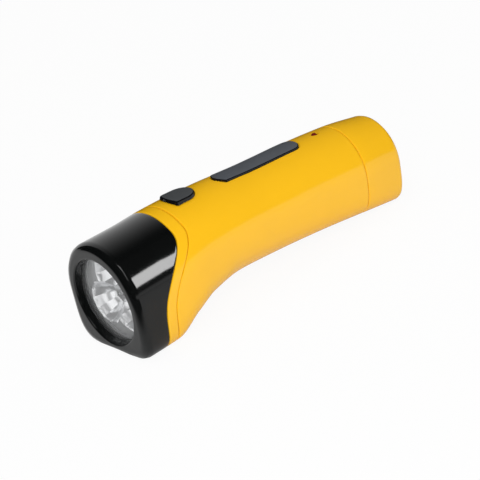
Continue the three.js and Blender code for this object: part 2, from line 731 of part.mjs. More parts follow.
const ledBoard = new THREE.Group();
ledBoard.position.x = reflectorBack - seamGap - ledFlange - seamGap;
ledBoard.add(mesh(
  "led_board", rod(ledBoardRadius, boardThickness, 40).translate(-boardThickness / 2, 0, 0),
  boardGreen,
));
for (const i of [0, 1, 2]) {
  const turn = cupTurn + (i * 2 * Math.PI) / 3;
  const led = mesh(`led_${i + 1}`, makeLed(), clearPlastic);
  led.position.set(seamGap, cupOffset * Math.cos(turn), cupOffset * Math.sin(turn));
  ledBoard.add(led);
}
for (const i of [0, 1, 2]) {
  const resistor = mesh(
    `led_resistor_${i + 1}`, box(resistorSize.x, resistorSize.y, resistorSize.z), resistorBody,
  );
  resistor.position.x = -boardThickness - seamGap - resistorSize.x / 2;
  resistor.position.y = (i - 1) * 2 * resistorSize.y;
  ledBoard.add(resistor);
}
torch.add(ledBoard);

// Switch, under the top wall
const switchGroup = new THREE.Group();
switchGroup.applyMatrix4(switchFrame);
const retainerBlank = solid(box(2 * retainerReach, retainerWidth, retainerThickness));
const retainerHole = solid(
  box(stemLength + 2 * seamGap, stemWidth + 2 * seamGap, 2 * retainerThickness),
);
const retainer = mesh(
  "switch_retainer", geometryOf(retainerBlank.subtract(retainerHole)), blackPlastic,
);
retainer.position.z = retainerTop - retainerThickness / 2;
const actuator = mesh(
  "switch_actuator", box(actuatorSize.x, actuatorSize.y, actuatorSize.z), blackPlastic,
);
actuator.position.z = actuatorTop - actuatorSize.z / 2;
const slideSwitch = mesh(
  "slide_switch", box(slideSwitchSize.x, slideSwitchSize.y, slideSwitchSize.z), bareMetal,
);
slideSwitch.position.set(switchTravel / 2, 0, slideSwitchTop - slideSwitchSize.z / 2);
const switchBoardBlank = solid(box(switchBoardSize.x, switchBoardSize.y, switchBoardSize.z));
const boardHoles = [-1, 1].map((side) =>
  solid(post(screwRadius + seamGap, 2 * overrun + switchBoardSize.z, 16)
    .translate(0, (side * switchScrewSpread) / 2, 0)));
const switchBoard = mesh(
  "switch_board",
  geometryOf(boardHoles.reduce((board, hole) => board.subtract(hole), switchBoardBlank)),
  boardGreen,
);
switchBoard.position.set(switchTravel / 2, 0, switchBoardTop - switchBoardSize.z / 2);
switchGroup.add(retainer, actuator, slideSwitch, switchBoard);
for (const [side, name] of [[1, "switch_screw_left"], [-1, "switch_screw_right"]]) {
  const screw = mesh(name, makeScrew(slideSwitchSize.z), bareMetal);
  screw.position.set(
    switchTravel / 2, (side * switchScrewSpread) / 2,
    switchBoardTop - switchBoardSize.z - seamGap,
  );
  switchGroup.add(screw);
}
torch.add(switchGroup);

// Charge lamp, in its hole
const lampSection = sectionAt(lampBehindFace);
const lampPoints = [new THREE.Vector2(0, 0), new THREE.Vector2(lampRadius, 0)];
const lampSteps = 4;
for (let i = 0; i <= lampSteps; i += 1) {
  const turn = (i / lampSteps) * (Math.PI / 2);
  lampPoints.push(new THREE.Vector2(
    i === lampSteps ? 0 : lampRadius * Math.cos(turn),
    lampLength - lampRadius + lampRadius * Math.sin(turn),
  ));
}
const chargeLamp = mesh(
  "charge_lamp", new THREE.LatheGeometry(lampPoints, 20).rotateX(Math.PI / 2), redLamp,
);
chargeLamp.rotation.y = -tailTilt;
const lampReach = lampLength - lampProud;
chargeLamp.position.set(
  -lampBehindFace + Math.sin(tailTilt) * lampReach, 0,
  lampSection.centre + lampSection.halfHeight - Math.cos(tailTilt) * lampReach,
);
torch.add(chargeLamp);

// Battery
const batteryGroup = new THREE.Group();
batteryGroup.applyMatrix4(batteryFrame);
batteryGroup.add(mesh("battery", box(batterySize.x, batterySize.y, batterySize.z), batteryCase));
for (const [side, name] of [[1, "battery_tab_plus"], [-1, "battery_tab_minus"]]) {
  const tab = mesh(name, box(terminalSize.x, terminalSize.y, terminalSize.z), brass);
  tab.position.set(
    (batterySize.x + terminalSize.x) / 2 + seamGap, (side * batterySize.y) / 4, batterySize.z / 4,
  );
  batteryGroup.add(tab);
}
torch.add(batteryGroup);

// Charger and plug, in the tail's frame
const tailGroup = new THREE.Group();
tailGroup.applyMatrix4(tailFrame);
const chargeBoardWidth = plugScrewSpread - 2 * (plugBossRadius + seamGap);
const chargeBoardHeight = 2 * chargeBoardShare * spigotHalfHeight;
const chargeBoard = mesh(
  "charge_board", box(boardThickness, chargeBoardWidth, chargeBoardHeight), boardGreen,
);
chargeBoard.position.x = boardBehind + boardThickness / 2;
tailGroup.add(chargeBoard);
torch.add(tailGroup);

for (const [side, name] of [[1, "plug_pin_left"], [-1, "plug_pin_right"]]) {
  const pin = mesh(name, makePin(), brass);
  pin.position.y = (side * pinSpacing) / 2;
  tailGroup.add(pin);
}
for (const [side, name] of [[1, "plug_screw_left"], [-1, "plug_screw_right"]]) {
  const screw = mesh(
    name, makeScrew(spigotFront + plugPlateThickness).rotateY(Math.PI / 2), bareMetal,
  );
  screw.position.set(plateRear - seamGap, (side * plugScrewSpread) / 2, 0);
  tailGroup.add(screw);
}

const capacitor = mesh(
  "dropper_capacitor", box(capacitorSize.x, capacitorSize.y, capacitorSize.z), capacitorFilm,
);
capacitor.position.set(boardFace + capacitorSize.x / 2, 0, -capacitorSize.z / 2 - 2 * seamGap);
for (const i of [0, 1, 2, 3]) {
  const diode = mesh(
    `rectifier_diode_${i + 1}`, post(diodeRadius, diodeLength, 12), blackPlastic,
  );
  diode.position.set(
    boardFace + diodeRadius, (i - 3 / 2) * 3 * diodeRadius, diodeLength / 2 + seamGap,
  );
  tailGroup.add(diode);
}
const bleed = mesh("bleed_resistor", new THREE.CylinderGeometry(
  bleedRadius, bleedRadius, bleedLength, 14), resistorBody);
bleed.position.set(boardFace + bleedRadius, 0, diodeLength + 2 * seamGap + bleedRadius);
tailGroup.add(capacitor, bleed);

// Wires, from board to switch and battery; each place is worked out from what it runs past.
const wireGap = wireDiameter / 2 + seamGap;
const boardBack = ledBoard.position.x - boardThickness;
const at = (frame, x, y, z) => new THREE.Vector3(x, y, z).applyMatrix4(frame);
const headPlace = (x, y, z) => new THREE.Vector3(x, y, z);
const underSwitch = switchBoardTop - switchBoardSize.z - 2 * seamGap;
const tabFront = batterySize.x / 2 + 3 * seamGap + terminalSize.x;
const tabMiddle = (batterySize.x + terminalSize.x) / 2 + seamGap;
const tabSide = (batterySize.y + 2 * terminalSize.y) / 4;
const batterySide = batterySize.y / 2 + wireGap + seamGap;
const lampWireSpread = ledBoardRadius / 2;

const lampWireMinus = [
  headPlace(boardBack - seamGap, -lampWireSpread, -lampWireSpread),
  headPlace(boardBack - lampWireSpread, -lampWireSpread, -lampWireSpread),
  at(switchFrame, 0, -batterySize.y / 4, 3 * switchBoardTop / 2 - lampWireSpread / 2),
  at(batteryFrame, tabFront + terminalSize.x / 2, -batterySize.y / 4, 0),
  at(batteryFrame, tabFront, -batterySize.y / 4, batterySize.z / 4),
];
const lampWirePlus = [
  headPlace(boardBack - seamGap, lampWireSpread, -lampWireSpread),
  headPlace(boardBack - lampWireSpread, lampWireSpread, -lampWireSpread),
  at(switchFrame, switchBoardSize.x / 2, slideSwitchSize.y / 2, 3 * switchBoardTop / 2),
  at(switchFrame, switchTravel / 2, slideSwitchSize.y / 2, underSwitch),
];
const switchWire = [
  at(batteryFrame, tabFront, batterySize.y / 4, batterySize.z / 4),
  at(batteryFrame, tabFront + terminalSize.x / 2, batterySize.y / 4, 0),
  at(switchFrame, -switchTravel / 2, slideSwitchSize.y / 4, underSwitch - 4 * wireDiameter),
  at(switchFrame, -switchTravel / 2, 0, underSwitch),
];
const chargeWire = (side) => [
  at(tailFrame, boardFace + seamGap, side * (chargeBoardWidth / 2 - wireGap), -chargeBoardHeight / 4),
  at(tailFrame, boardFace + capacitorSize.x / 2, side * (batterySize.y / 2 - wireGap),
    -chargeBoardHeight / 5),
  at(batteryFrame, -batterySize.x / 2, side * batterySide, -wireGap),
  at(batteryFrame, -batterySize.x / 5, side * batterySide, 0),
  at(batteryFrame, batterySize.x / 5, side * batterySide, 0),
  at(batteryFrame, batterySize.x / 2, side * batterySide, wireGap),
  at(batteryFrame, tabMiddle, side * (tabSide + 2 * seamGap + wireDiameter), batterySize.z / 5),
  at(batteryFrame, tabMiddle, side * (tabSide + 2 * seamGap), batterySize.z / 4),
];
torch.add(
  mesh("lamp_wire_minus", makeWire(lampWireMinus), blackWire),
  mesh("lamp_wire_plus", makeWire(lampWirePlus), redWire),
  mesh("switch_wire", makeWire(switchWire), redWire),
  mesh("charge_wire_plus", makeWire(chargeWire(1)), redWire),
  mesh("charge_wire_minus", makeWire(chargeWire(-1)), blackWire),
);

// The torch lies on Z = 0, its beam a little up, with the middle of its box over the origin.
torch.rotation.y = -restTilt;
const reach = new THREE.Box3().setFromObject(torch, true);
torch.position.set(-(reach.min.x + reach.max.x) / 2, 0, Math.cos(restTilt) * lensAxisHeight);

const model = new THREE.Group();
model.add(torch);
export default model;
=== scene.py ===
"""A rechargeable hand torch, dressed around its packed construction frame.

The torch is one bent tube: every outer shell is a stretch of the same surface, worked out from a
table of sections, so the black head, the yellow band, the handle and the tail cap meet at fine
seams. Lengths in the classes are millimetres, in the torch's own frame: its origin is the middle
of the front face and its X axis is the lens axis, forwards. The torch rests on its head's feet and
the end of its tail, so that axis rises a little. Meshes are written in metres in the frame of the
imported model.
"""

import json
import logging
import math
from dataclasses import dataclass
from enum import Enum
from functools import cached_property
from typing import Callable, Sequence

import bmesh
import bpy
import numpy as np
from mathutils import Matrix, Vector


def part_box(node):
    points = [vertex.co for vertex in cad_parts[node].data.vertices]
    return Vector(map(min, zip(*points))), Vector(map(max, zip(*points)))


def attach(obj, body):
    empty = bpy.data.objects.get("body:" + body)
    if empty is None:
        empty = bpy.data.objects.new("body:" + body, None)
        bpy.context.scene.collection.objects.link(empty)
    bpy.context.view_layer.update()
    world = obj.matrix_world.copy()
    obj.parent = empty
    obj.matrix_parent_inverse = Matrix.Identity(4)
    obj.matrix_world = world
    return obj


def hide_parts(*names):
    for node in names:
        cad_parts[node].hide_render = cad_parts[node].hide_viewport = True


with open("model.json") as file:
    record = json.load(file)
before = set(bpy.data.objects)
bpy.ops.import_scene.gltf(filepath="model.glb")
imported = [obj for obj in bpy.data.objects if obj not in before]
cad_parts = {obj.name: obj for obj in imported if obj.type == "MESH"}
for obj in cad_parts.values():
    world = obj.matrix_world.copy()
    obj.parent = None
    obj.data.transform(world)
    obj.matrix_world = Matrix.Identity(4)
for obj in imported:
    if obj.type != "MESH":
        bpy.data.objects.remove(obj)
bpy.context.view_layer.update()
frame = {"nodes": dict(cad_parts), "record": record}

LOG = logging.getLogger("torch")
MM = 0.001
Array = np.ndarray
GRAIN_DEPTH = 0.00002
BEAM_AXES = ((1, 0, 0), (0, 1, 0), (0, 0, 1))
WELD_REACH = 2e-6
SLIVER = 1e-6
WHITE = (1, 1, 1, 1)


class Body(Enum):
    """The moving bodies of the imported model."""

    HOUSING = "housing"
    SWITCH = "switch"
    TAIL_CAP = "tail_cap_body"


class Slot(Enum):
    """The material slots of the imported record."""

    YELLOW = "yellow_plastic"
    BLACK_GLOSS = "black_gloss"
    BLACK_SATIN = "black_plastic"
    CLEAR = "clear_plastic"
    MIRROR = "mirror_coat"
    RED_LAMP = "red_lamp"
    BOARD = "circuit_board"
    RUBBER = "soft_rubber"
    FOAM = "foam"
    BATTERY = "battery_case"
    STEEL = "bare_metal"
    BRASS = "brass"
    CAPACITOR = "capacitor_film"
    RESISTOR = "resistor_body"
    RED_WIRE = "red_wire"
    BLACK_WIRE = "black_wire"


@dataclass(frozen=True)
class Section:
    """One cross-section of the tube, in shares of the torch's length, height and half width."""

    along: float
    top: float
    bottom: float
    half: float
    roundness: float


SECTION_SHARES = (
    Section(1.0, 0.363, 0.39, 0.757, 3.7),
    Section(0.867, 0.428, 0.351, 0.815, 3.1),
    Section(0.692, 0.47, 0.311, 0.819, 2.6),
    Section(0.539, 0.49, 0.288, 0.833, 2.3),
    Section(0.402, 0.519, 0.273, 0.874, 2.2),
    Section(0.291, 0.529, 0.291, 0.916, 2.8),
    Section(0.208, 0.525, 0.355, 0.966, 3.7),
    Section(0.125, 0.517, 0.46, 0.983, 4.6),
    Section(0.028, 0.513, 0.468, 1.0, 4.8),
)


def smooth_max(a: Array, b: Array, blend: float) -> Array:
    """The larger of a and b, rounded where they cross over a width of blend.

    Args:
        a: First values.
        b: Second values.
        blend: Width of the rounding, in the values' unit.

    Returns:
        Half the sum plus half the root of the squared difference and the squared blend.
    """
    return (a + b + np.sqrt((a - b) ** 2 + blend**2)) / 2


def smooth_step(low: float, high: float, value: Array) -> Array:
    """Zero below low, one above high, and three t squared less two t cubed between them."""
    t = np.clip((value - low) / (high - low), 0, 1)
    return t * t * (3 - 2 * t)


@dataclass(frozen=True)
class Seam:
    """An S-shaped seam seen from the side: how far behind the face it lies at each height."""

    top: float
    bottom: float
    foot: float = -22.9
    rise: float = 44.8
    skew: float = 2.0

    def behind(self, height: Array) -> Array:
        """Distance behind the face at a height over the lens axis.

        It swings from bottom to top as a smooth step of the share of the rise that lies below
        the height, raised to the skew, so most of the swing comes late.
        """
        share = np.clip((height - self.foot) / self.rise, 0, 1) ** self.skew
        return self.bottom + (self.top - self.bottom) * smooth_step(0.0, 1.0, share)


@dataclass(frozen=True)
class TorchForm:
    """The outside of the torch as one surface of two parameters."""

    length: float = 154.0
    head_width: float = 50.4
    head_height: float = 51.3
    tail_tilt: float = 0.08
    tilt_start: float = 32.03
    tilt_length: float = 64.06
    wall: float = 2.2
    gap: float = 0.3
    face_round: float = 3.2
    tail_round: float = 2.2
    edge_round: float = 0.45
    arch_width: float = 22.0
    arch_depth: float = 0.9
    arch_end: tuple[float, float] = (-60.0, -45.0)
    foot_blend: float = 0.7
    bezel_seam: Seam = Seam(31.2, 12.4)
    collar_seam: Seam = Seam(37.1, 17.6)
    neck_front: float = 7.6
    cap_seam: float = 132.1
    axis_height: float = 23.3415
    rest_tilt: float = 0.025378
    lens_behind: float = 4.1
    sections: tuple[Section, ...] = SECTION_SHARES

    def smooth(self, key: str, behind: Array) -> Array:
        """A curve through one of the sections' shares that never overshoots them.

        Args:
            key: The section's field.
            behind: Distances behind the face.

        Returns:
            The share at each distance: a cubic between neighbours, with tangents that are the
            weighted harmonic mean of the two slopes beside each section.
        """
        place = np.array([1 - s.along for s in self.sections])
        value = np.array([getattr(s, key) for s in self.sections])
        step = np.diff(place)
        slope = np.diff(value) / step
        before = 2 * step[1:] + step[:-1]
        after = step[1:] + 2 * step[:-1]
        with np.errstate(divide="ignore", invalid="ignore"):
            mean = (before + after) / (before / slope[:-1] + after / slope[1:])
        mean = np.where(slope[:-1] * slope[1:] > 0, mean, 0)
        tangent = np.concatenate([[slope[0]], mean, [slope[-1]]])
        at = np.clip(1 - behind / self.length, place[0], place[-1])
        i = np.clip(np.searchsorted(place, at, side="right") - 1, 0, len(step) - 1)
        t = (at - place[i]) / step[i]
        rise = t * t * (3 - 2 * t)
        bend = step[i] * t * (1 - t) * (tangent[i] * (1 - t) - tangent[i + 1] * t)
        return value[i] * (1 - rise) + value[i + 1] * rise + bend

    def lean(self, behind: Array) -> Array:
        """How far the handle's axis has turned at a distance behind the face, in radians."""
        return self.tail_tilt * np.clip((behind - self.tilt_start) / self.tilt_length, 0, 1)

    def section(self, behind: Array) -> tuple[Array, Array, Array, Array]:
        """Centre height, half height, half width and roundness at a distance behind the face."""
        top = self.smooth("top", behind) * self.head_height
        bottom = -self.smooth("bottom", behind) * self.head_height
        half = self.smooth("half", behind) * self.head_width / 2
        return (top + bottom) / 2, (top - bottom) / 2, half, self.smooth("roundness", behind)

    def skin(self, behind: Array | float, angle: Array, inset: Array | float) -> Array:
        """Points of the surface, in the torch's own frame.

        The upper half of a section is an ellipse and the lower half a superellipse, so across
        it is the signed cosine to a power times the half width, and up the signed sine to the
        same power times the half height. The section leans with the handle.

        Args:
            behind: Distance behind the face.
            angle: Angle round the section, from the left side up over the top.
            inset: How far inside the outside the point lies.

        Returns:
            An array of points with one more axis of three.
        """
        behind, angle, inset = np.broadcast_arrays(behind, angle, inset)
        centre, half_height, half_width, roundness = self.section(behind)
        across, up = np.cos(angle), np.sin(angle)
        power = np.where(up < -1e-9, 2 / roundness, 1.0)
        y = np.sign(across) * np.abs(across) ** power * (half_width - inset)
        rise = np.sign(up) * np.abs(up) ** power * (half_height - inset)
        lean = self.lean(behind)
        return np.stack(
            [-behind - np.sin(lean) * rise, y, centre + np.cos(lean) * rise], axis=-1
        )

    def stand(self, points: Array) -> Array:
        """The points lifted to the table and the arch between the head's feet.

        In this frame the table falls away behind the face: it lies at the axis height below
        zero, less x times the tangent of the resting tilt. The arch is a circle's top over
        it: its depth less y squared over twice its radius. Under the tail and the feet the
        points are lifted to the table.
        """
        table = -self.axis_height - points[..., 0] * math.tan(self.rest_tilt)
        radius = ((self.arch_width / 2) ** 2 + self.arch_depth**2) / (2 * self.arch_depth)
        arch = table + self.arch_depth - points[..., 1] ** 2 / (2 * radius)
        head_only = smooth_step(*self.arch_end, points[..., 0])
        arch = arch * head_only - (1 - head_only) * 2 * self.axis_height
        lifted = points.copy()
        lifted[..., 2] = smooth_max(lifted[..., 2], arch, self.foot_blend)
        lifted[..., 2] = np.maximum(lifted[..., 2], table)
        return lifted

    def seam_row(self, seam: Seam, angle: Array) -> Array:
        """Distance behind the face at which each angle's line crosses a seam, found by steps."""
        behind = np.full_like(angle, (seam.top + seam.bottom) / 2)
        for _ in range(30):
            point = self.skin(behind, angle, 0.0)
            behind = behind + (seam.behind(point[..., 2]) + point[..., 0]) / 2
        return behind

    def columns(self, count: int, dense: float = 0.0, dense_half: float = 8.0) -> Array:
        """Angles that share out the girth evenly, or more thickly over the top.

        Args:
            count: How many angles.
            dense: Extra weight over the top strip.
            dense_half: Half width of that strip.

        Returns:
            The angles, where the mean of the head's and the tail's weighted arc length takes
            equal steps.
        """
        fine = np.linspace(0, 2 * math.pi, 6001)
        total = np.zeros(len(fine))
        for behind in (self.length * 0.05, self.length * 0.6):
            points = self.skin(behind, fine, 0.0)
            steps = np.linalg.norm(np.diff(points, axis=0), axis=1)
            middle = (fine[1:] + fine[:-1]) / 2
            on_top = (np.abs(points[1:, 1]) < dense_half) & (middle < math.pi)
            total[1:] += np.cumsum(steps * (1 + dense * on_top))
        wanted = np.linspace(0, total[-1], count, endpoint=False)
        return np.interp(wanted, total, fine)

    def on_top(self, x: Array, y: Array, inset: Array | float) -> Array:
        """Points of the upper half over given places x, y, found by steps along the surface."""
        behind = -x
        for _ in range(12):
            _, half_height, half_width, _ = self.section(behind)
            angle = np.arccos(np.clip(y / (half_width - inset), -1, 1))
            rise = np.sin(angle) * (half_height - inset)
            behind = -x - np.sin(self.lean(behind)) * rise
        return self.skin(behind, angle, inset)

    def turn(self, directions: Array) -> Array:
        """Directions of the torch's own frame turned nose up by the resting tilt."""
        c, s = math.cos(self.rest_tilt), math.sin(self.rest_tilt)
        return np.asarray(directions) @ np.array([[c, 0.0, s], [0.0, 1.0, 0.0], [-s, 0.0, c]])

    def place(self, points: Array) -> Array:
        """Points of the torch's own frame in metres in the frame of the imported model.

        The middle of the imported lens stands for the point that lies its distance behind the
        face on the lens axis.
        """
        low, high = (np.array(corner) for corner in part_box("lens"))
        return self.turn(points + np.array([self.lens_behind, 0.0, 0.0])) * MM + (low + high) / 2


FORM = TorchForm()


def grid_faces(rows: int, columns: int, close_rows: bool, close_columns: bool) -> Array:
    """Quads over a grid of rows and columns, whose corners are row times columns plus column."""
    r = np.arange(rows if close_rows else rows - 1)
    c = np.arange(columns if close_columns else columns - 1)
    a, b = np.meshgrid(r, c, indexing="ij")
    a2, b2 = (a + 1) % rows, (b + 1) % columns
    quads = np.stack([a * columns + b, a * columns + b2, a2 * columns + b2, a2 * columns + b], -1)
    return quads.reshape(-1, 4)


def bow(a: Sequence[float], b: Sequence[float], c: Sequence[float], count: int) -> Array:
    """A quadratic curve from a to c, drawn towards b, without its last point."""
    t = np.linspace(0, 1, count, endpoint=False)[:, None]
    return (1 - t) ** 2 * np.array(a) + 2 * t * (1 - t) * np.array(b) + t**2 * np.array(c)


def quarter(radius: float, count: int) -> list[tuple[float, float]]:
    """Points of a rounded edge: how far each lies from its end, and how far it is drawn in."""
    turns = np.linspace(0, math.pi / 2, count)
    return [(radius * (1 - math.cos(t)), radius * (1 - math.sin(t))) for t in turns]


def add_object(name: str, data: bpy.types.ID) -> bpy.types.Object:
    """Makes an object of some data and puts it in the scene."""
    made = bpy.data.objects.new(name, data)
    bpy.context.scene.collection.objects.link(made)
    return made


def shade(colour: Sequence[float], share: float) -> tuple[float, ...]:
    """A colour times a share, at most white."""
    return tuple(min(1.0, c * share) for c in colour)


@dataclass
class Piece:
    """A finished mesh object with its body, slot and the nodes that it stands for."""

    name: str
    body: Body
    slot: Slot
    stands_for: tuple[str, ...] = ()
    sharp_degrees: float = 32.0

    def build(
        self,
        points: Array,
        faces: Array,
        finish: "Finish | None" = None,
        side: Array | None = None,
    ) -> bpy.types.Object:
        """Makes the mesh, turns its faces out, smooths it and dresses it.

        Args:
            points: Corners, in the torch's own frame.
            faces: Corner numbers of each face.
            finish: What the piece is made of, if not the usual finish of its slot.
            side: For each corner, one on the side walls and zero on the top, if it matters.

        Returns:
            The new object, riding on its body.
        """
        flat = FORM.place(points.reshape(-1, 3))
        mesh = bpy.data.meshes.new(self.name)
        mesh.from_pydata(flat.tolist(), [], [list(map(int, f)) for f in faces])
        if side is not None:
            mesh.attributes.new("side", "FLOAT", "POINT").data.foreach_set("value", side.ravel())
        work = bmesh.new()
        work.from_mesh(mesh)
        bmesh.ops.remove_doubles(work, verts=work.verts, dist=WELD_REACH)
        bmesh.ops.dissolve_degenerate(work, edges=work.edges, dist=SLIVER)
        bmesh.ops.recalc_face_normals(work, faces=work.faces)
        work.to_mesh(mesh)
        work.free()
        mesh.shade_smooth()
        mesh.set_sharp_from_angle(angle=math.radians(self.sharp_degrees))
        made = add_object(self.name, mesh)
        mesh.materials.append((finish or FINISHES[self.slot]).material)
        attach(made, self.body.value)
        if self.stands_for:
            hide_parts(*self.stands_for)
        LOG.info("%s: %d corners, %d faces", self.name, len(mesh.vertices), len(mesh.polygons))
        return made

    def loft(
        self,
        rows: Sequence[Array],
        closed: bool = False,
        finish: "Finish | None" = None,
        side: Array | None = None,
    ) -> bpy.types.Object:
        """Builds the piece from rings of points, each joined to the next.

        Args:
            rows: The rings, with equally many points.
            closed: Whether the last ring is joined to the first.
            finish: As for build.
            side: As for build.

        Returns:
            The new object, riding on its body.
        """
        loop = np.array(rows)
        faces = grid_faces(loop.shape[0], loop.shape[1], closed, True)
        return self.build(loop, faces, finish, side)

    def turned(
        self,
        profile: Sequence[tuple[float, float]],
        foot: Sequence[float],
        axes: Sequence[Sequence[float]],
        columns: int,
        finish: "Finish | None" = None,
    ) -> bpy.types.Object:
        """Builds the piece as a profile turned about a line.

        Args:
            profile: How far out and how far along each ring lies.
            foot: Where the line starts.
            axes: The line's direction and two directions across it.
            columns: Corners in each ring.
            finish: As for build.

        Returns:
            The new object, riding on its body.
        """
        turn = np.linspace(0, 2 * math.pi, columns, endpoint=False)[:, None]
        along, first, second = np.array(axes, float)
        ring = np.cos(turn) * first + np.sin(turn) * second
        rows = [np.array(foot) + along * up + ring * out for out, up in profile]
        return self.loft(rows, finish=finish)


class Sum:
    """A shader socket that adds Math nodes when it is used in an expression."""

    def __init__(self, tree: bpy.types.NodeTree, value: bpy.types.NodeSocket | float):
        """Wraps a socket or a number of a node tree."""
        self.tree = tree
        self.value = value

    def _math(self, operation: str, other: "Sum | float", swap: bool = False) -> "Sum":
        """One Math node of this value and another."""
        node = self.tree.nodes.new("ShaderNodeMath")
        node.operation = operation
        pair = (other, self) if swap else (self, other)
        for socket, item in zip(node.inputs, pair):
            item = item.value if isinstance(item, Sum) else item
            if isinstance(item, bpy.types.NodeSocket):
                self.tree.links.new(item, socket)
            else:
                socket.default_value = item
        return Sum(self.tree, node.outputs[0])

    def __add__(self, other: "Sum | float") -> "Sum":
        """This value plus another."""
        return self._math("ADD", other)

    __radd__ = __add__

    def __sub__(self, other: "Sum | float") -> "Sum":
        """This value less another."""
        return self._math("SUBTRACT", other)

    def __rsub__(self, other: "Sum | float") -> "Sum":
        """Another value less this."""
        return self._math("SUBTRACT", other, swap=True)

    def __mul__(self, other: "Sum | float") -> "Sum":
        """This value times another."""
        return self._math("MULTIPLY", other)

    __rmul__ = __mul__


@dataclass
class Tree:
    """A node tree, with one method for every kind of node."""

    tree: bpy.types.NodeTree

    def node(self, kind: str, settings: dict | None = None, **inputs: object) -> bpy.types.Node:
        """Adds a node.

        Args:
            kind: The node's type.
            settings: Attributes that are set first.
            **inputs: Values or links of its sockets, with underscores for spaces.

        Returns:
            The new node.
        """
        node = self.tree.nodes.new(kind)
        for key, value in (settings or {}).items():
            setattr(node, key, value)
        for key, value in inputs.items():
            self.put(node.inputs[key.replace("_", " ")], value)
        return node

    def put(self, socket: bpy.types.NodeSocket, value: object) -> None:
        """Links or sets one socket."""
        value = value.value if isinstance(value, Sum) else value
        if isinstance(value, bpy.types.NodeSocket):
            self.tree.links.new(value, socket)
        else:
            socket.default_value = value

    def split(self, coordinate: str) -> tuple[Sum, ...]:
        """The three parts of a texture coordinate."""
        place = self.node("ShaderNodeTexCoord").outputs[coordinate]
        parts = self.node("ShaderNodeSeparateXYZ", Vector=place).outputs
        return tuple(Sum(self.tree, parts[axis]) for axis in "XYZ")

    def seen(self) -> dict[str, Sum]:
        """For each kind of ray, one where such a ray is looking and zero elsewhere."""
        rays = self.node("ShaderNodeLightPath").outputs
        kinds = ("Camera", "Transmission", "Glossy")
        return {kind: Sum(self.tree, rays[f"Is {kind} Ray"]) for kind in kinds}

    def ramp(self, value: Sum, start: tuple[float, float], end: tuple[float, float]) -> Sum:
        """A smooth step of a value, from one pair of numbers to another."""
        made = self.node(
            "ShaderNodeMapRange", {"interpolation_type": "SMOOTHSTEP"}, Value=value,
            From_Min=start[0], From_Max=start[1], To_Min=end[0], To_Max=end[1],
        )
        return Sum(self.tree, made.outputs["Result"])


class Shader(Tree):
    """A new material's node tree, which starts with its Principled surface."""

    def __init__(self, name: str) -> None:
        """Makes the material and holds its tree and surface."""
        self.material = bpy.data.materials.new(name)
        self.material.use_nodes = True
        super().__init__(self.material.node_tree)
        self.surface = self.tree.nodes["Principled BSDF"]

    def set(self, **inputs: object) -> None:
        """Sets or links sockets of the surface."""
        for key, value in inputs.items():
            self.put(self.surface.inputs[key.replace("_", " ")], value)

    def show(self, closure: bpy.types.Node) -> None:
        """Puts another node on the material's output in the surface's place."""
        out = self.tree.nodes["Material Output"]
        self.put(out.inputs["Surface"], closure.outputs[0])

    def noise(self, scale: float, detail: float = 3.0, roughness: float = 0.5) -> Sum:
        """Noise on Object coordinates, as a value around one half."""
        place = self.node("ShaderNodeTexCoord").outputs["Object"]
        made = self.node(
            "ShaderNodeTexNoise", Vector=place, Scale=scale, Detail=detail, Roughness=roughness
        )
        return Sum(self.tree, made.outputs["Fac"])

    def mix(self, factor: Sum, first: object, second: object) -> bpy.types.NodeSocket:
        """A colour between two, by a factor; each is three numbers or a colour socket."""
        node = self.tree.nodes.new("ShaderNodeMix")
        node.data_type = "RGBA"
        self.put(node.inputs["Factor"], factor)
        for key, colour in (("A", first), ("B", second)):
            linked = isinstance(colour, bpy.types.NodeSocket)
            self.put(node.inputs[key], colour if linked else (*colour, 1.0))
        return node.outputs["Result"]

    def bump(self, height: Sum, strength: float, distance: float) -> None:
        """Drives the surface's normal from a height."""
        node = self.node("ShaderNodeBump", Strength=strength, Distance=distance, Height=height)
        self.set(Normal=node.outputs["Normal"])


class Finish:
    """Something a piece is made of; one material is made and shared."""

    @cached_property
    def material(self) -> bpy.types.Material:
        """The finish's material, made when it is first asked for."""
        return self.make()

    def make(self) -> bpy.types.Material:
        """Makes the material."""
        raise NotImplementedError


@dataclass(frozen=True)
class Moulded(Finish):
    """Moulded plastic: a body colour that drifts a little, a fine skin and soft gloss."""

    name: str
    colour: tuple[float, float, float]
    roughness: float
    coat: float = 0.0
    coat_roughness: float = 0.1
    grain: float = 0.03
    grain_scale: float = 2500.0
    drift: float = 0.05
    specular: float = 0.5

    def make(self) -> bpy.types.Material:
        """Makes the plastic: noise drives colour, roughness and the fine skin."""
        shader = Shader(self.name)
        cloud = shader.noise(60.0, 4.0)
        low, high = (shade(self.colour, 1 + way * self.drift) for way in (-1, 1))
        rough = self.roughness * 0.88 + shader.noise(180.0, 5.0) * (self.roughness * 0.24)
        shader.set(Base_Color=shader.mix(cloud, low, high), Roughness=rough)
        shader.set(Coat_Weight=self.coat, Coat_Roughness=self.coat_roughness)
        shader.set(Specular_IOR_Level=self.specular)
        skin = shader.noise(self.grain_scale, 3.0) + shader.noise(self.grain_scale / 8, 2.0) * 1.5
        shader.bump(skin, self.grain, GRAIN_DEPTH)
        return shader.material


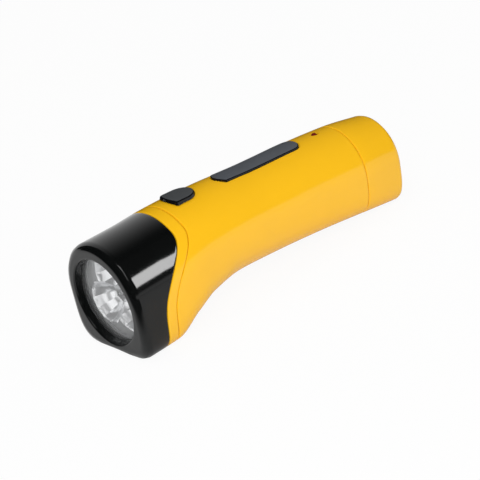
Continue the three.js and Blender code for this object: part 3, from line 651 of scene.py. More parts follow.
@dataclass(frozen=True)
class Capped(Finish):
    """Moulded plastic with a dull grained top and glossier side walls, darkened by painted shade.
    """

    name: str
    top: tuple[float, float, float]
    roughness: float
    grain: float
    # Painted shade: the walls' near-black colour, darker than the top
    wall: tuple[float, float, float] = (0.004, 0.004, 0.005)
    wall_roughness: float = 0.16
    shades: tuple[float, float] = (0.82, 1.18)

    def make(self) -> bpy.types.Material:
        """Makes the plastic: the piece's own side attribute picks the top or the painted shade
        wall.
        """
        shader = Shader(self.name)
        attribute = shader.node("ShaderNodeAttribute", {"attribute_name": "side"})
        side = Sum(shader.tree, attribute.outputs["Fac"])
        cloud = shader.noise(500.0, 4.0) * 0.5 + shader.noise(90.0, 2.0) * 0.5
        top = shader.mix(cloud, *(shade(self.top, share) for share in self.shades))
        # Painted shade: near-black walls stand in for less light from above and shadow in the gaps
        shader.set(Base_Color=shader.mix(side, top, self.wall))
        # The walls' lower roughness is the plastic's own gloss
        rough = self.roughness + side * (self.wall_roughness - self.roughness)
        shader.set(Roughness=rough + (shader.noise(200.0, 3.0) - 0.5) * 0.06)
        skin = (shader.noise(3500.0, 3.0) + shader.noise(1200.0, 2.0)) * (1 - side)
        shader.bump(skin, self.grain, GRAIN_DEPTH)
        return shader.material


@dataclass(frozen=True)
class Metal(Finish):
    """Bare or coated metal with fine marks; less metallic is less mirror and more haze."""

    name: str
    colour: tuple[float, float, float]
    roughness: float
    metallic: float = 1.0
    dull: float = 0.94

    def make(self) -> bpy.types.Material:
        """Makes the metal: noise drives its roughness and a slight waviness."""
        shader = Shader(self.name)
        rough = self.roughness * 0.8 + shader.noise(400.0, 4.0) * (self.roughness * 0.4)
        colour = shader.mix(shader.noise(150.0), shade(self.colour, self.dull), self.colour)
        shader.set(Base_Color=colour, Metallic=self.metallic, Roughness=rough)
        shader.bump(shader.noise(900.0, 2.0), 0.05, 0.00003)
        return shader.material


@dataclass(frozen=True)
class Clear(Finish):
    """Clear plastic that shows by what it mirrors at its edges, and a little face on."""

    name: str
    tint: tuple[float, float, float]
    body: float

    def make(self) -> bpy.types.Material:
        """Makes the plastic: alpha grows with the fourth power of the glancing angle."""
        shader = Shader(self.name)
        weight = shader.node("ShaderNodeLayerWeight", Blend=0.5).outputs["Facing"]
        glance = Sum(shader.tree, weight)
        squared = glance * glance
        haze = shader.noise(300.0, 3.0)
        alpha = squared * squared * 0.5 + (haze * 0.01 + self.body)
        shader.set(Base_Color=shader.mix(haze, self.tint, (1, 1, 1)), Alpha=alpha)
        shader.set(Roughness=0.04 + haze * 0.02)
        return shader.material


FINISHES: dict[Slot, Finish] = {
    Slot.YELLOW: Moulded(
        "yellow plastic", (0.94, 0.51, 0.009), 0.16, grain=0.015, drift=0.02, specular=0.62
    ),
    Slot.BLACK_GLOSS: Moulded(
        "black gloss plastic", (0.0032, 0.0036, 0.0036), 0.1, grain=0.008, specular=0.38
    ),
    Slot.BLACK_SATIN: Moulded(
        "dark satin plastic", (0.02, 0.023, 0.028), 0.36, grain=0.25, drift=0.12
    ),
    Slot.CLEAR: Clear("clear lens plastic", (0.5, 0.52, 0.53), 0.005),
    Slot.MIRROR: Metal("mirror coat", (0.9, 0.91, 0.92), 0.08, 0.72),
    Slot.RED_LAMP: Moulded("red lamp", (0.16, 0.008, 0.006), 0.2, coat=0.4, grain=0.01),
    Slot.BOARD: Moulded("circuit board lacquer", (0.03, 0.16, 0.06), 0.4, drift=0.2),
    Slot.RUBBER: Moulded("soft rubber", (0.02, 0.02, 0.021), 0.8, grain=0.3),
    Slot.FOAM: Moulded(
        "grey foam", (0.05, 0.05, 0.055), 0.95, grain=1.0, grain_scale=900.0, drift=0.3
    ),
    Slot.BATTERY: Moulded("battery case", (0.05, 0.07, 0.1), 0.5, drift=0.1),
    Slot.STEEL: Metal("plated steel", (0.6, 0.61, 0.62), 0.3),
    Slot.BRASS: Metal("plated brass", (0.75, 0.6, 0.28), 0.28),
    Slot.CAPACITOR: Moulded("capacitor dip", (0.35, 0.05, 0.02), 0.3, coat=0.3),
    Slot.RESISTOR: Moulded("resistor coat", (0.6, 0.45, 0.28), 0.55),
    Slot.RED_WIRE: Moulded("red insulation", (0.5, 0.02, 0.015), 0.45),
    Slot.BLACK_WIRE: Moulded("black insulation", (0.02, 0.02, 0.02), 0.45),
}
STRIP_SATIN = Capped("strip plastic", (0.095, 0.104, 0.118), 0.5, 0.25)
KNOB_SATIN = Capped("knob plastic", (0.075, 0.08, 0.084), 0.36, 0.25)
LED_EPOXY = Clear("clear lamp epoxy", (0.9, 0.91, 0.92), 0.2)


@dataclass
class Skins:
    """The four outer shells, each a closed loop of rows carried round the tube."""

    bezel_columns: int = 200
    shell_columns: int = 180
    edge_points: int = 4

    def outer_rows(
        self,
        angle: Array,
        front: Array,
        rear: Array,
        count: int,
        front_round: float,
        rear_round: float,
        pit: Callable[[Array], Array] | None = None,
    ) -> list[Array]:
        """Rows of a shell's outside from its front edge to its rear edge.

        Args:
            angle: The columns' angles.
            front: Distance behind the face of the front edge at each angle.
            rear: The same for the rear edge.
            count: How many rows lie between the rounded edges.
            front_round: Radius of the front edge.
            rear_round: Radius of the rear edge.
            pit: Depth of what is let into the surface, from its points.

        Returns:
            The rows, one array of points each.
        """
        first = [(front + d, i) for d, i in quarter(front_round, self.edge_points)]
        last = [(rear - d, i) for d, i in quarter(rear_round, self.edge_points)][::-1]
        start, end = front + front_round, rear - rear_round
        between = [(start + (end - start) * s, 0.0) for s in np.linspace(0, 1, count + 2)[1:-1]]
        rows = []
        for behind, inset in first + between + last:
            points = FORM.skin(behind, angle, inset)
            if pit is not None:
                points = FORM.skin(behind, angle, inset + pit(points))
            rows.append(FORM.stand(points))
        return rows

    def bore_row(self, angle: Array, past_seam: float, wall: float) -> Array:
        """One row of the cap's bore: an ellipse carried along the tail's axis.

        Args:
            angle: The columns' angles.
            past_seam: Distance behind the cap seam.
            wall: How far the ellipse lies inside the outside at the seam.

        Returns:
            The row of points.
        """
        seam = np.array(FORM.cap_seam)
        centre, half_height, half_width, _ = (float(v) for v in FORM.section(seam))
        lean = float(FORM.lean(seam))
        up = np.sin(angle) * (half_height - wall)
        return np.stack([
            -FORM.cap_seam - math.cos(lean) * past_seam - math.sin(lean) * up,
            np.cos(angle) * (half_width - wall),
            centre - math.sin(lean) * past_seam + math.cos(lean) * up,
        ], -1)


@dataclass
class Head:
    """The black bezel with its round opening, and the yellow band behind it."""

    skins: Skins
    opening_radius: float = 19.6
    opening_round: float = 0.7
    seat_radius: float = 19.0
    seat_depth: float = 3.2
    pocket_radius: float = 20.6
    pocket_depth: float = 6.0
    pocket_step: float = 0.05
    aim_behind: float = 2.0
    face_rows: int = 8
    outside_rows: int = 34
    collar_rows: int = 8
    lip_points: int = 5

    def circle(self, angle: Array, radius: float, behind: float) -> Array:
        """A row round the lens axis, in the directions that the outside's points lie in."""
        outline = FORM.skin(self.aim_behind, angle, 0.0)
        turn = np.arctan2(outline[:, 2], outline[:, 1])
        return np.stack(
            [np.full_like(angle, -behind), radius * np.cos(turn), radius * np.sin(turn)], axis=-1
        )

    def bezel(self) -> bpy.types.Object:
        """Builds the black head shell: outside, face, opening, seat and hollow in one loop."""
        angle = FORM.columns(self.skins.bezel_columns)
        front = np.zeros_like(angle)
        rear = FORM.seam_row(FORM.bezel_seam, angle)
        rows = self.skins.outer_rows(
            angle, front, rear, self.outside_rows, FORM.face_round, FORM.edge_round
        )
        rim = rows[0]
        hole = self.circle(angle, self.opening_radius + self.opening_round, 0.0)
        face = [rim + (hole - rim) * s for s in np.linspace(0, 1, self.face_rows)[1:]]
        lip = [
            self.circle(angle, self.opening_radius + out, along)
            for along, out in quarter(self.opening_round, self.lip_points)[1:]
        ]
        inside = [
            self.circle(angle, self.seat_radius, self.seat_depth),
            self.circle(angle, self.pocket_radius, self.seat_depth + self.pocket_step),
            self.circle(angle, self.pocket_radius, self.pocket_depth),
            FORM.skin(self.pocket_depth, angle, FORM.wall),
            FORM.skin((self.pocket_depth + rear) / 2, angle, FORM.wall),
            FORM.skin(rear, angle, FORM.wall),
        ]
        piece = Piece("bezel_shell", Body.HOUSING, Slot.BLACK_GLOSS, ("bezel",))
        return piece.loft(rows[::-1] + face + lip + inside, closed=True)

    def collar(self) -> bpy.types.Object:
        """Builds the narrow yellow band between the two S-shaped seams."""
        angle = FORM.columns(self.skins.shell_columns)
        front = FORM.seam_row(FORM.bezel_seam, angle) + FORM.gap
        rear = FORM.seam_row(FORM.collar_seam, angle)
        rows = self.skins.outer_rows(
            angle, front, rear, self.collar_rows, FORM.edge_round, FORM.edge_round
        )
        inside = [FORM.skin(edge, angle, FORM.wall) for edge in (rear, front)]
        piece = Piece("collar_band", Body.HOUSING, Slot.YELLOW, ("head_collar",))
        return piece.loft(rows + inside, closed=True)


@dataclass
class Strip:
    """The dark strip on top of the handle, with its shallow bed."""

    front: float = 67.56
    length: float = 45.35
    width: float = 11.2
    proud: float = 0.66
    bed: float = 0.9
    front_bulge: float = 2.6
    rear_radius: float = 4.6
    rear_power: float = 2.4
    edge: float = 0.4
    steps: int = 40

    def bounds(self, grow: float) -> tuple[float, float, float, float]:
        """Front, rear, half width and rear radius of the outline, widened all round."""
        front = -self.front + grow
        return front, front - self.length - 2 * grow, self.width / 2 + grow, self.rear_radius + grow

    def outline(self) -> Array:
        """The strip's outline from above: two straight sides, a bowed front and a round rear."""
        front, rear, half, radius = self.bounds(0.0)

        def line(a: tuple, b: tuple) -> Array:
            """A straight run from a to b."""
            t = np.linspace(0, 1, 3 * self.steps, endpoint=False)[:, None]
            return np.array(a) * (1 - t) + np.array(b) * t

        nose = front - self.front_bulge
        return np.concatenate([
            bow((nose, half), (front + self.front_bulge, 0), (nose, -half), self.steps),
            line((nose, -half), (rear + radius, -half)),
            bow((rear + radius, -half), (rear, -half), (rear, 0), self.steps),
            bow((rear, 0), (rear, half), (rear + radius, half), self.steps),
            line((rear + radius, half), (nose, half)),
        ])

    def inside(self, x: Array, y: Array, grow: float) -> Array:
        """Signed distance from a point to the widened outline, more than zero inside it.

        The outline is the part of the band between the two sides that lies behind the bowed
        front and before the round rear, so the distance is the least of three.
        """
        front, rear, half, radius = self.bounds(grow)
        nose = front - self.front_bulge * (y / half) ** 2
        drop = np.sqrt(np.clip(1 - np.abs(y / half) ** self.rear_power, 0, 1))
        tail = rear + radius * (1 - drop)
        return np.minimum(np.minimum(nose - x, x - tail), half - np.abs(y))

    def build(self) -> bpy.types.Object:
        """Builds the strip: side walls, a rounded edge and a top that follows the handle."""
        ring = self.outline()
        spine_front = -self.front - self.width / 2
        spine_rear = -self.front - self.length + self.width / 2
        spine = np.stack([np.clip(ring[:, 0], spine_rear, spine_front), 0 * ring[:, 1]], -1)
        foot = self.bed - FORM.gap
        half = self.width / 2
        plan = [(half, foot), (0.0, foot)]
        plan += [(drawn, drop - self.proud) for drawn, drop in quarter(self.edge, 5)]
        flat_half = half - self.edge
        plan += [(self.edge + s * flat_half, -self.proud) for s in (0.1, 0.3, 0.6, 1.0)]
        rows = []
        for drawn, inset in plan:
            flat = ring + (spine - ring) * (drawn / half)
            rows.append(FORM.on_top(flat[:, 0], flat[:, 1], inset))
        # Side walls and outer edge take the finish's wall colour, which is painted shade
        side = np.array([drawn < self.edge * 0.7 for drawn, _ in plan], float)
        side = np.repeat(side[:, None], len(ring), axis=1)
        piece = Piece("strip_plate", Body.HOUSING, Slot.BLACK_SATIN, ("label_strip",))
        return piece.loft(rows, finish=STRIP_SATIN, side=side)


@dataclass
class Handle:
    """The yellow handle with its neck, the tail cap and the charge lamp."""

    skins: Skins
    strip: Strip
    lamp_behind: float = 124.2
    lamp_radius: float = 1.5
    lamp_length: float = 5.0
    lamp_proud: float = 0.5
    notch_width: float = 26.0
    notch_length: float = 5.2
    notch_depth: float = 0.7
    hole_depth: float = 1.6
    cap_wall: float = 3.0
    cap_floor: float = 2.2
    bed_crease: float = 0.12
    hole_crease: float = 0.1
    notch_creases: tuple[float, float] = (0.25, 0.3)
    columns: int = 230
    top_weight: float = 4.0
    rows: int = 198
    inside_rows: int = 12
    cap_rows: int = 40

    def pits(self, points: Array) -> Array:
        """Depth of the strip's bed and the lamp's hole below the handle's outside."""
        strip = self.strip
        x, y = points[..., 0], points[..., 1]
        above = points[..., 2] > 0
        crease = self.bed_crease
        bed = strip.bed * smooth_step(-crease, crease, strip.inside(x, y, FORM.gap))
        apart = np.hypot(x + self.lamp_behind, y)
        crease = self.hole_crease
        within = self.lamp_radius + FORM.gap / 2 - apart
        hole = self.hole_depth * smooth_step(-crease, crease, within)
        return np.where(above, bed + hole, 0.0)

    def shell(self) -> bpy.types.Object:
        """Builds the handle: outside, rear edge, inside, and the neck that the head slides on."""
        angle = FORM.columns(self.columns, dense=self.top_weight)
        front = FORM.seam_row(FORM.collar_seam, angle) + FORM.gap
        rear = np.full_like(angle, FORM.cap_seam)
        rows = self.skins.outer_rows(
            angle, front, rear, self.rows, FORM.edge_round, FORM.edge_round, self.pits
        )
        reach = front + FORM.wall - rear
        outer, inner = FORM.wall + FORM.gap, 2 * FORM.wall + FORM.gap
        plan = [(rear + reach * s, FORM.wall) for s in np.linspace(0, 1, self.inside_rows)]
        plan += [(front - FORM.wall, inner), (FORM.neck_front, inner)]
        plan += [(FORM.neck_front, outer), (front, outer)]
        rows += [FORM.skin(behind, angle, inset) for behind, inset in plan]
        piece = Piece("handle_shell", Body.HOUSING, Slot.YELLOW, ("body_shell",))
        return piece.loft(rows, closed=True)

    def notch(self, points: Array) -> Array:
        """Depth of the finger notch under the cap's front edge."""
        x, y, z = points[..., 0], points[..., 1], points[..., 2]
        from_seam = -x - FORM.cap_seam
        (end, side), half = self.notch_creases, self.notch_width / 2
        along = smooth_step(self.notch_length + end, self.notch_length - end, from_seam)
        across = smooth_step(half + side, half - side, np.abs(y))
        return np.where(z < 0, self.notch_depth * along * across, 0.0)

    def cap(self) -> bpy.types.Object:
        """Builds the tail cap: a cup with a rounded rim at its closed end."""
        angle = FORM.columns(self.skins.shell_columns)
        front = np.full_like(angle, FORM.cap_seam + FORM.gap)
        rear = np.full_like(angle, FORM.length)
        rows = self.skins.outer_rows(
            angle, front, rear, self.cap_rows, FORM.edge_round, FORM.tail_round, self.notch
        )
        centre = rows[-1].mean(axis=0)
        end = [rows[-1] + (centre - rows[-1]) * s for s in (0.04, 0.3, 0.65, 1.0)]
        reach = FORM.length - FORM.cap_seam - self.cap_floor
        floor = self.skins.bore_row(angle, reach, self.cap_wall)
        floor_centre = floor.mean(axis=0)
        mouth = self.skins.bore_row(angle, FORM.gap, self.cap_wall)
        inside = [floor + (floor_centre - floor) * s for s in (1.0, 0.5, 0.03, 0.0)]
        piece = Piece("tail_cap_shell", Body.TAIL_CAP, Slot.YELLOW, ("tail_cap",))
        return piece.loft([mouth] + rows + end + inside + [mouth])

    def lamp(self) -> bpy.types.Object:
        """Builds the charge lamp: a round post with a domed top."""
        tilt = FORM.tail_tilt
        axis = np.array([-math.sin(tilt), 0.0, math.cos(tilt)])
        forwards = np.array([math.cos(tilt), 0.0, math.sin(tilt)])
        leftwards = np.array([0.0, 1.0, 0.0])
        spot = FORM.on_top(np.array([-self.lamp_behind]), np.zeros(1), 0.0)[0]
        foot = spot - axis * (self.lamp_length - self.lamp_proud)
        radius, shoulder = self.lamp_radius, self.lamp_length - self.lamp_radius
        profile = [(0.0, 0.0), (radius, 0.0)]
        profile += [
            (radius * math.cos(t), shoulder + radius * math.sin(t))
            for t in np.linspace(0, math.pi / 2, 8)
        ]
        piece = Piece("charge_lamp_dome", Body.HOUSING, Slot.RED_LAMP, ("charge_lamp",))
        return piece.turned(profile, foot, (axis, forwards, leftwards), 32)


@dataclass
class SwitchKnob:
    """The slide knob: a low block, blunt in front and round behind, over the handle's back."""

    front: float = 41.7
    length: float = 14.0
    width: float = 13.2
    height: float = 1.6
    rear_height: float = 1.4
    edge: float = 0.8
    skirt_gap: float = 0.35
    skirt_width: float = 0.6
    draft: float = 0.25
    crown: float = 0.35
    hollow: float = 0.12
    tilt: float = 0.028
    steps: int = 24

    def outline(self) -> Array:
        """The knob's outline from above, about its middle: bowed front, half-round rear."""
        half = self.width / 2
        front = self.length / 2
        corner = front - half / 3
        cheek = front - half / 8
        turns = np.linspace(math.pi / 2, 3 * math.pi / 2, 2 * self.steps, endpoint=False)
        rear = np.stack([-front + half + half * np.cos(turns), half * np.sin(turns)], -1)
        return np.concatenate([
            bow((corner, -half), (cheek, -half), (cheek, -half * 0.8), 8),
            bow((cheek, -half * 0.8), (front + half / 8, 0), (cheek, half * 0.8), self.steps),
            bow((cheek, half * 0.8), (cheek, half), (corner, half), 8),
            bow((corner, half), (0, half), (-front + half, half), self.steps),
            rear,
            bow((-front + half, -half), (0, -half), (corner, -half), self.steps),
        ])

    def build(self) -> bpy.types.Object:
        """Builds the knob: skirt, drafted sides, rounded rim and a slightly hollowed top."""
        ring = self.outline()
        half = self.width / 2
        middle = -self.front - self.length / 2
        straight = self.length / 2 - half
        spine = np.stack([np.clip(ring[:, 0], -straight, straight), 0 * ring[:, 1]], -1)
        top_line = FORM.on_top(np.array([middle]), np.zeros(1), 0.0)[0, 2]

        def row(drawn: float, lift: float | None, dip: float = 0.0) -> Array:
            """One row drawn in from the outline, on the skirt (no lift) or at the top."""
            share = drawn / half
            flat = ring + (spine - ring) * share
            x = middle + flat[:, 0]
            if lift is None:
                return FORM.on_top(x, flat[:, 1], -self.skirt_gap)
            forward = flat[:, 0] / self.length + 0.5
            height = self.rear_height + (self.height - self.rear_height) * forward
            fall = (flat[:, 1] / half) ** 2 * self.crown
            z = top_line + height + lift - fall - dip + flat[:, 0] * self.tilt
            return np.stack([x, flat[:, 1], z], -1)

        rows = [row(drawn, None) for drawn in (half, self.skirt_width, 0.0)]
        rows += [row(self.draft + drawn, -drop) for drawn, drop in quarter(self.edge, 6)]
        rows += [
            row(half * share, 0.0, self.hollow * smooth_step(0.2, 0.9, share))
            for share in (0.35, 0.55, 0.8, 1.0)
        ]
        # Skirt, sides and lower rim take the finish's wall colour, which is painted shade
        side = np.repeat((np.arange(len(rows)) < 7).astype(float)[:, None], len(ring), axis=1)
        piece = Piece("switch_knob_cap", Body.SWITCH, Slot.BLACK_SATIN, ("switch_knob",))
        return piece.loft(rows, finish=KNOB_SATIN, side=side)


@dataclass
class Optics:
    """The lens, the three-cup reflector and the three lamps in it."""

    reflector_radius: float = 20.0
    reflector_behind: float = 5.9
    reflector_wall: float = 0.6
    cup_radius: float = 9.7
    cup_offset: float = 8.9
    cup_depth: float = 11.0
    cup_turn: float = math.pi / 2
    throat: float = 2.8
    bowl_step: float = 0.2
    facet_angle: float = 9.0
    petals: int = 12
    lens_radius: float = 20.3
    lens_front: float = 3.5
    lens_thick: float = 1.2
    lens_bevel: float = 0.2
    led_radius: float = 2.5
    led_flange: tuple[float, float] = (2.9, 1.0)
    led_foot: float = 18.2
    led_length: float = 7.0
    rings: int = 48
    petal_columns: int = 12

    def cup_centres(self) -> list[tuple[float, float]]:
        """Where the cups' axes cross the face, as y and z."""
        turns = [self.cup_turn + i * 2 * math.pi / 3 for i in range(3)]
        return [(self.cup_offset * math.cos(t), self.cup_offset * math.sin(t)) for t in turns]

    def cup(self, number: int) -> Array:
        """Rows of one third of the mirror: a faceted bowl that reaches to its two neighbours.

        The rows run out from the bowl's axis to the edge of its third of the disc, which is
        the nearest of two straight lines and the outer circle. A bowl's depth is its full
        depth times one less the square of the distance from its axis over its radius; the
        distance is measured across flats, so the bowl has petals.

        Args:
            number: Which cup, from zero.

        Returns:
            The front's rows from the axis outwards, and then the back's rows inwards.
        """
        wedge = 2 * math.pi / self.petals
        steps = self.petals * self.petal_columns
        turn = (np.arange(steps) + 0.5) * 2 * math.pi / steps
        turn = np.sort(np.concatenate([turn, np.arange(self.petals) * wedge]))
        out = np.array([self.cup_offset, 0.0])
        ray = np.stack([np.cos(turn), np.sin(turn)], -1)
        reach = -out[0] * ray[:, 0]
        reach = reach + np.sqrt(reach**2 + self.reflector_radius**2 - self.cup_offset**2)
        for sign in (-1, 1):
            normal = np.array([-math.sin(math.pi / 3), sign * math.cos(math.pi / 3)])
            towards = ray @ normal
            line = np.where(towards > 1e-6, -(out @ normal) / np.maximum(towards, 1e-6), 1e9)
            reach = np.minimum(reach, line)
        share = np.linspace(0, 1, self.rings)[:, None]
        across = self.throat * 0.5 * (1 - share) + share * reach
        across[0] = 0
        off = turn % wedge - wedge / 2
        flat = across * np.cos(off) / math.cos(wedge / 2)
        depth = np.clip(self.cup_depth * (1 - (flat / self.cup_radius) ** 2), 0, self.cup_depth)
        depth = np.where(across < self.throat, self.cup_depth, depth)
        depth = depth - self.bowl_step * (depth > 1)
        local = out + across[..., None] * ray
        aim = self.cup_turn + number * 2 * math.pi / 3
        y = local[..., 0] * math.cos(aim) - local[..., 1] * math.sin(aim)
        z = local[..., 0] * math.sin(aim) + local[..., 1] * math.cos(aim)
        front = np.stack([-self.reflector_behind - depth, y, z], -1)
        back = front[::-1].copy()
        back[..., 0] -= self.reflector_wall
        return np.concatenate([front, back])

    def reflector(self) -> bpy.types.Object:
        """Builds the mirror from its three cups, each a closed sheet."""
        cups = np.array([self.cup(number) for number in range(3)])
        one = grid_faces(cups.shape[1], cups.shape[2], False, True)
        faces = np.concatenate([one + i * cups.shape[1] * cups.shape[2] for i in range(3)])
        piece = Piece("reflector_cups", Body.HOUSING, Slot.MIRROR, ("reflector",), self.facet_angle)
        return piece.build(cups, faces)

    def lens(self) -> bpy.types.Object:
        """Builds the flat lens with a small bevel all round."""
        half = [(0, 0), (self.lens_radius * 0.5, 0), (self.lens_radius - self.lens_bevel, 0)]
        half.append((self.lens_radius, self.lens_bevel))
        profile = half + [(out, self.lens_thick - along) for out, along in half[::-1]]
        piece = Piece("lens_window", Body.HOUSING, Slot.CLEAR, ("lens",))
        start = -self.lens_front - self.lens_thick
        return piece.turned(profile, (start, 0, 0), BEAM_AXES, 96)

    def lamps(self) -> None:
        """Builds the three clear lamps, each a flanged post with a domed tip."""
        flange, thick = self.led_flange
        radius = self.led_radius
        profile = [(0, 0), (flange, 0), (flange, thick), (radius, thick)]
        profile += [
            (radius * math.cos(t), self.led_length - radius * (1 - math.sin(t)))
            for t in np.linspace(0, math.pi / 2, 10)
        ]
        for number, (y, z) in enumerate(self.cup_centres(), start=1):
            piece = Piece(f"lamp_{number}", Body.HOUSING, Slot.CLEAR, (f"led_{number}",))
            piece.turned(profile, (-self.led_foot, y, z), BEAM_AXES, 40, LED_EPOXY)


def dress_nodes() -> None:
    """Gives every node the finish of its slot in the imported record."""
    slots = {row["node"]: row["material_slot"] for row in frame["record"]["subparts"]}
    for name, node in frame["nodes"].items():
        node.data.materials.clear()
        node.data.materials.append(FINISHES[Slot(slots[name])].material)
    LOG.info("%d nodes dressed", len(slots))


@dataclass(frozen=True)
class Lamp:
    """A soft rectangular lamp: place, goal and sides in metres, and power in watts."""

    name: str
    place: tuple[float, float, float]
    goal: tuple[float, float, float]
    size: tuple[float, float]
    power: float


BODY_SPOT = (0.0, 0.0, 0.02)
HEAD_SPOT = (0.06, 0.0, 0.037)
SOFT_LAMPS = (
    Lamp("key", (0.65, 0.92, 0.65), BODY_SPOT, (0.9, 0.9), 10.4),
    Lamp("overhead", (0.25, -0.1, 1.3), BODY_SPOT, (0.6, 0.6), 1.9),
)
BEZEL_LAMPS = (
    Lamp("spark", (0.42, 0.52, 0.835), HEAD_SPOT, (0.42, 0.6), 2.8),
    Lamp("stripe", (-0.104, 0.28, 0.176), HEAD_SPOT, (0.115, 0.11), 0.62),
)
MIRROR_LAMPS = (Lamp("streak", (0.51, 0.34, 0.86), HEAD_SPOT, (0.4, 0.1), 0.6),)


@dataclass
class Studio:
    """Camera, floor, world and lamps, none of them part of the torch."""

    azimuth: float = 146.3476
    elevation: float = 23.7946
    roll: float = -13.631
    distance: float = 954.0
    target: tuple[float, float, float] = (-72.62, 0.0, 6.845)
    focal: float = 167.0
    shift: tuple[float, float] = (0.01547, -0.0508)
    sensor: float = 36.0
    arch_radius: float = 0.13
    arch_height: float = 0.025
    wall_ahead: float = 0.3
    sky_lean: float = 0.13
    sky_light: float = 0.52
    horizon: tuple[float, float] = (-0.05, 0.02)
    horizon_glow: tuple[float, float] = (0.85, 0.02)
    arch_fade: tuple[float, float] = (-0.115, 0.025)
    patch_scale: float = 7.0
    patch_contrast: tuple[float, float] = (0.42, 0.58)
    patch_glow: tuple[float, float] = (0.16, 1.1)
    floor_edge: float = 0.005
    floor_half: float = 6.0
    floor_white: float = 0.93
    head_front: float = 0.078

    def camera(self) -> None:
        """Sets the camera where the photograph was taken from."""
        data = bpy.data.cameras.new("camera")
        data.lens, data.sensor_width = self.focal, self.sensor
        data.shift_x, data.shift_y = self.shift
        data.clip_start, data.clip_end = 0.05, 20.0
        made = add_object("camera", data)
        a, e, roll = (math.radians(v) for v in (self.azimuth, self.elevation, self.roll))
        back = np.array([math.sin(a) * math.cos(e), -math.cos(a) * math.cos(e), math.sin(e)])
        right = np.array([math.cos(a), math.sin(a), 0.0])
        up = np.cross(back, right)
        turned_right = right * math.cos(roll) + up * math.sin(roll)
        turned_up = up * math.cos(roll) - right * math.sin(roll)
        place = Vector(FORM.place(np.array(self.target) + back * self.distance))
        axes = [Vector(FORM.turn(axis)) for axis in (turned_right, turned_up, back)]
        turn = Matrix(axes).transposed().to_4x4()
        made.matrix_world = Matrix.Translation(place) @ turn
        bpy.context.scene.camera = made

    def area(self, lamp: Lamp) -> bpy.types.Object:
        """Adds a lamp and returns its object."""
        data = bpy.data.lights.new(lamp.name, "AREA")
        data.shape, (data.size, data.size_y) = "RECTANGLE", lamp.size
        data.energy = lamp.power
        made = add_object(lamp.name, data)
        made.location = Vector(lamp.place)
        made.rotation_mode = "QUATERNION"
        away = Vector(lamp.place) - Vector(lamp.goal)
        made.rotation_quaternion = away.to_track_quat("Z", "Y")
        return made

    def link(self, lamp: bpy.types.Object, piece: bpy.types.Object) -> None:
        """Makes a lamp light one piece alone."""
        group = bpy.data.collections.new(f"{lamp.name} lights")
        group.objects.link(piece)
        lamp.light_linking.receiver_collection = group

    def lamps(self, bezel: bpy.types.Object, mirror: bpy.types.Object) -> None:
        """Adds the soft lamps, and those that only show in the piece that mirrors them."""
        for lamp in SOFT_LAMPS:
            self.area(lamp).visible_glossy = False
        for only, lamps in ((bezel, BEZEL_LAMPS), (mirror, MIRROR_LAMPS)):
            for lamp in lamps:
                made = self.area(lamp)
                made.visible_diffuse = False
                self.link(made, only)

    def sheet(self, name: str, points: Array, shader: Shader) -> bpy.types.Object:
        """A sheet through a grid of points, in metres."""
        faces = grid_faces(points.shape[0], points.shape[1], False, False)
        mesh = bpy.data.meshes.new(name)
        mesh.from_pydata(points.reshape(-1, 3).tolist(), [], faces.tolist())
        mesh.materials.append(shader.material)
        return add_object(name, mesh)

    def card(
        self, name: str, points: Array, shader: Shader, glow: Sum, only: bpy.types.Object
    ) -> None:
        """Hangs a glowing card that shows only in one piece's reflections.

        Args:
            name: The card's name.
            points: Its corners as a grid, in metres.
            shader: Its material.
            glow: How strongly it glows.
            only: The piece that mirrors it.
        """
        made = self.sheet(name, points, shader)
        for ray in ("camera", "diffuse", "transmission", "volume_scatter", "shadow"):
            setattr(made, f"visible_{ray}", False)
        shader.show(shader.node("ShaderNodeEmission", Color=WHITE, Strength=glow))
        self.link(made, only)

    def cards(self, bezel: bpy.types.Object, mirror: bpy.types.Object) -> None:
        """Adds a curved card behind the head and a mottled one in front of the mirror.

        The first is a stretch of a cylinder about the torch that fades as it arches over, by
        a smooth step across. The second is a plane whose glow is noise with its contrast
        raised, so that neighbouring facets of the mirror differ.
        """
        turn = np.radians(np.linspace(-100.0, 20.0, 25))
        turn, x = np.meshgrid(turn, np.linspace(-0.06, 0.09, 6), indexing="ij")
        across, up = self.arch_radius * np.sin(turn), self.arch_radius * np.cos(turn)
        arched = np.stack([x, across, self.arch_height + up], -1)
        shader = Shader("reflector card")
        _, y, _ = shader.split("Object")
        fade = shader.ramp(y, self.arch_fade, (1.0, 0.0))
        self.card("reflector_card", arched, shader, fade, bezel)
        y, z = np.meshgrid(np.linspace(-0.5, 0.5, 3), np.linspace(0.002, 0.8, 3), indexing="ij")
        upright = np.stack([self.wall_ahead + 0 * y, y, z], -1)
        mottled = Shader("mottled card")
        noise = mottled.noise(self.patch_scale, 1.0)
        patches = mottled.ramp(noise, self.patch_contrast, self.patch_glow)
        self.card("mottled_card", upright, mottled, patches, mirror)

    def world(self) -> None:
        """A pale world, white where the camera and glass look past the torch.

        What is glossy sees it fade from bright to dark just over the horizon, which leans
        to the left side.
        """
        world = bpy.data.worlds.new("world")
        world.use_nodes = True
        bpy.context.scene.world = world
        world.node_tree.nodes.clear()
        tree = Tree(world.node_tree)
        _, y, z = tree.split("Generated")
        seen = tree.seen()
        horizon = tree.ramp(z - y * self.sky_lean, self.horizon, self.horizon_glow)
        direct = seen["Camera"] + seen["Transmission"]
        rest = 1 - direct - seen["Glossy"]
        strength = direct + seen["Glossy"] * horizon + rest * self.sky_light
        glow = tree.node("ShaderNodeBackground", Color=WHITE, Strength=strength)
        tree.node("ShaderNodeOutputWorld", Surface=glow.outputs[0])

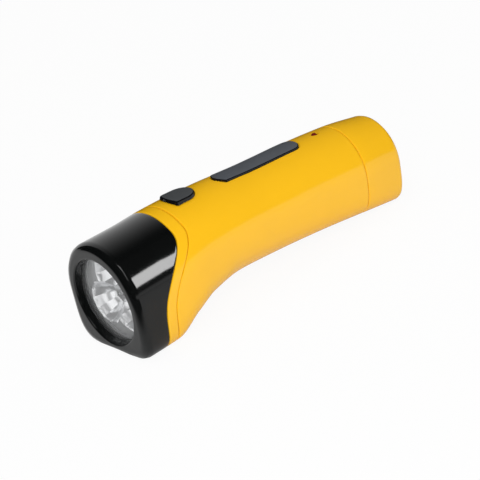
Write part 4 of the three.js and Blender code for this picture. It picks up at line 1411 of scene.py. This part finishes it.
    def floor(self) -> None:
        """A wide pale floor that keeps the torch's shadow and ends in white.

        What is glossy finds painted dark patches on it behind the handle and ahead of the head on
        the left, painted shade that gives the black plastic dark stretches between bright ones.
        """
        half = self.floor_half
        x, y = np.meshgrid((-half, half), (-half, half))
        shader = Shader("pale floor")
        made = self.sheet("floor", np.stack([x, y, 0 * x], -1), shader)
        shader.set(Base_Color=(0.9, 0.9, 0.9, 1), Roughness=0.9, Specular_IOR_Level=0.1)
        seen = shader.seen()
        x, y, _ = shader.split("Object")

        def past(distance: Sum) -> Sum:
            """One where a distance in metres is over zero, with a soft edge of a centimetre."""
            return shader.ramp(distance, (-self.floor_edge, self.floor_edge), (0.0, 1.0))

        # Each is a distance in metres past a slanted line on the floor
        before = x - self.head_front
        ahead = before * 0.5 + y * 0.87
        away = before * 0.83 + (y - 0.025) * 0.55
        beside = (x - 0.04) * 0.84 - y * 0.51
        behind = past(0 - beside) * past(-0.02 - y)
        # Painted shade: dark patches that only glossy rays see, for the black plastic's reflections
        dark = behind + past(ahead) * past(before) * past((away - 0.03) * 0.25)
        direct = seen["Camera"] + seen["Transmission"]
        share = direct * self.floor_white + seen["Glossy"] * (0.1 + dark * 0.85)
        light = 1 - seen["Glossy"] * dark
        glow = shader.node("ShaderNodeEmission", Color=WHITE, Strength=light)
        mixed = shader.node("ShaderNodeMixShader", Fac=share)
        for socket, closure in zip(mixed.inputs[1:], (shader.surface, glow)):
            shader.put(socket, closure.outputs[0])
        shader.show(mixed)


def main() -> None:
    """Builds the studio and the torch, piece by piece, and reports each one."""
    logging.basicConfig(level=logging.INFO, format="%(name)s: %(message)s")
    bpy.context.scene.view_settings.view_transform = "Standard"
    studio = Studio()
    studio.camera()
    studio.world()
    studio.floor()
    dress_nodes()
    skins = Skins()
    head = Head(skins)
    bezel = head.bezel()
    head.collar()
    strip = Strip()
    handle = Handle(skins, strip)
    handle.shell()
    handle.cap()
    handle.lamp()
    strip.build()
    SwitchKnob().build()
    optics = Optics()
    mirror = optics.reflector()
    optics.lens()
    optics.lamps()
    studio.lamps(bezel, mirror)
    studio.cards(bezel, mirror)


if __name__ == "__main__":
    main()
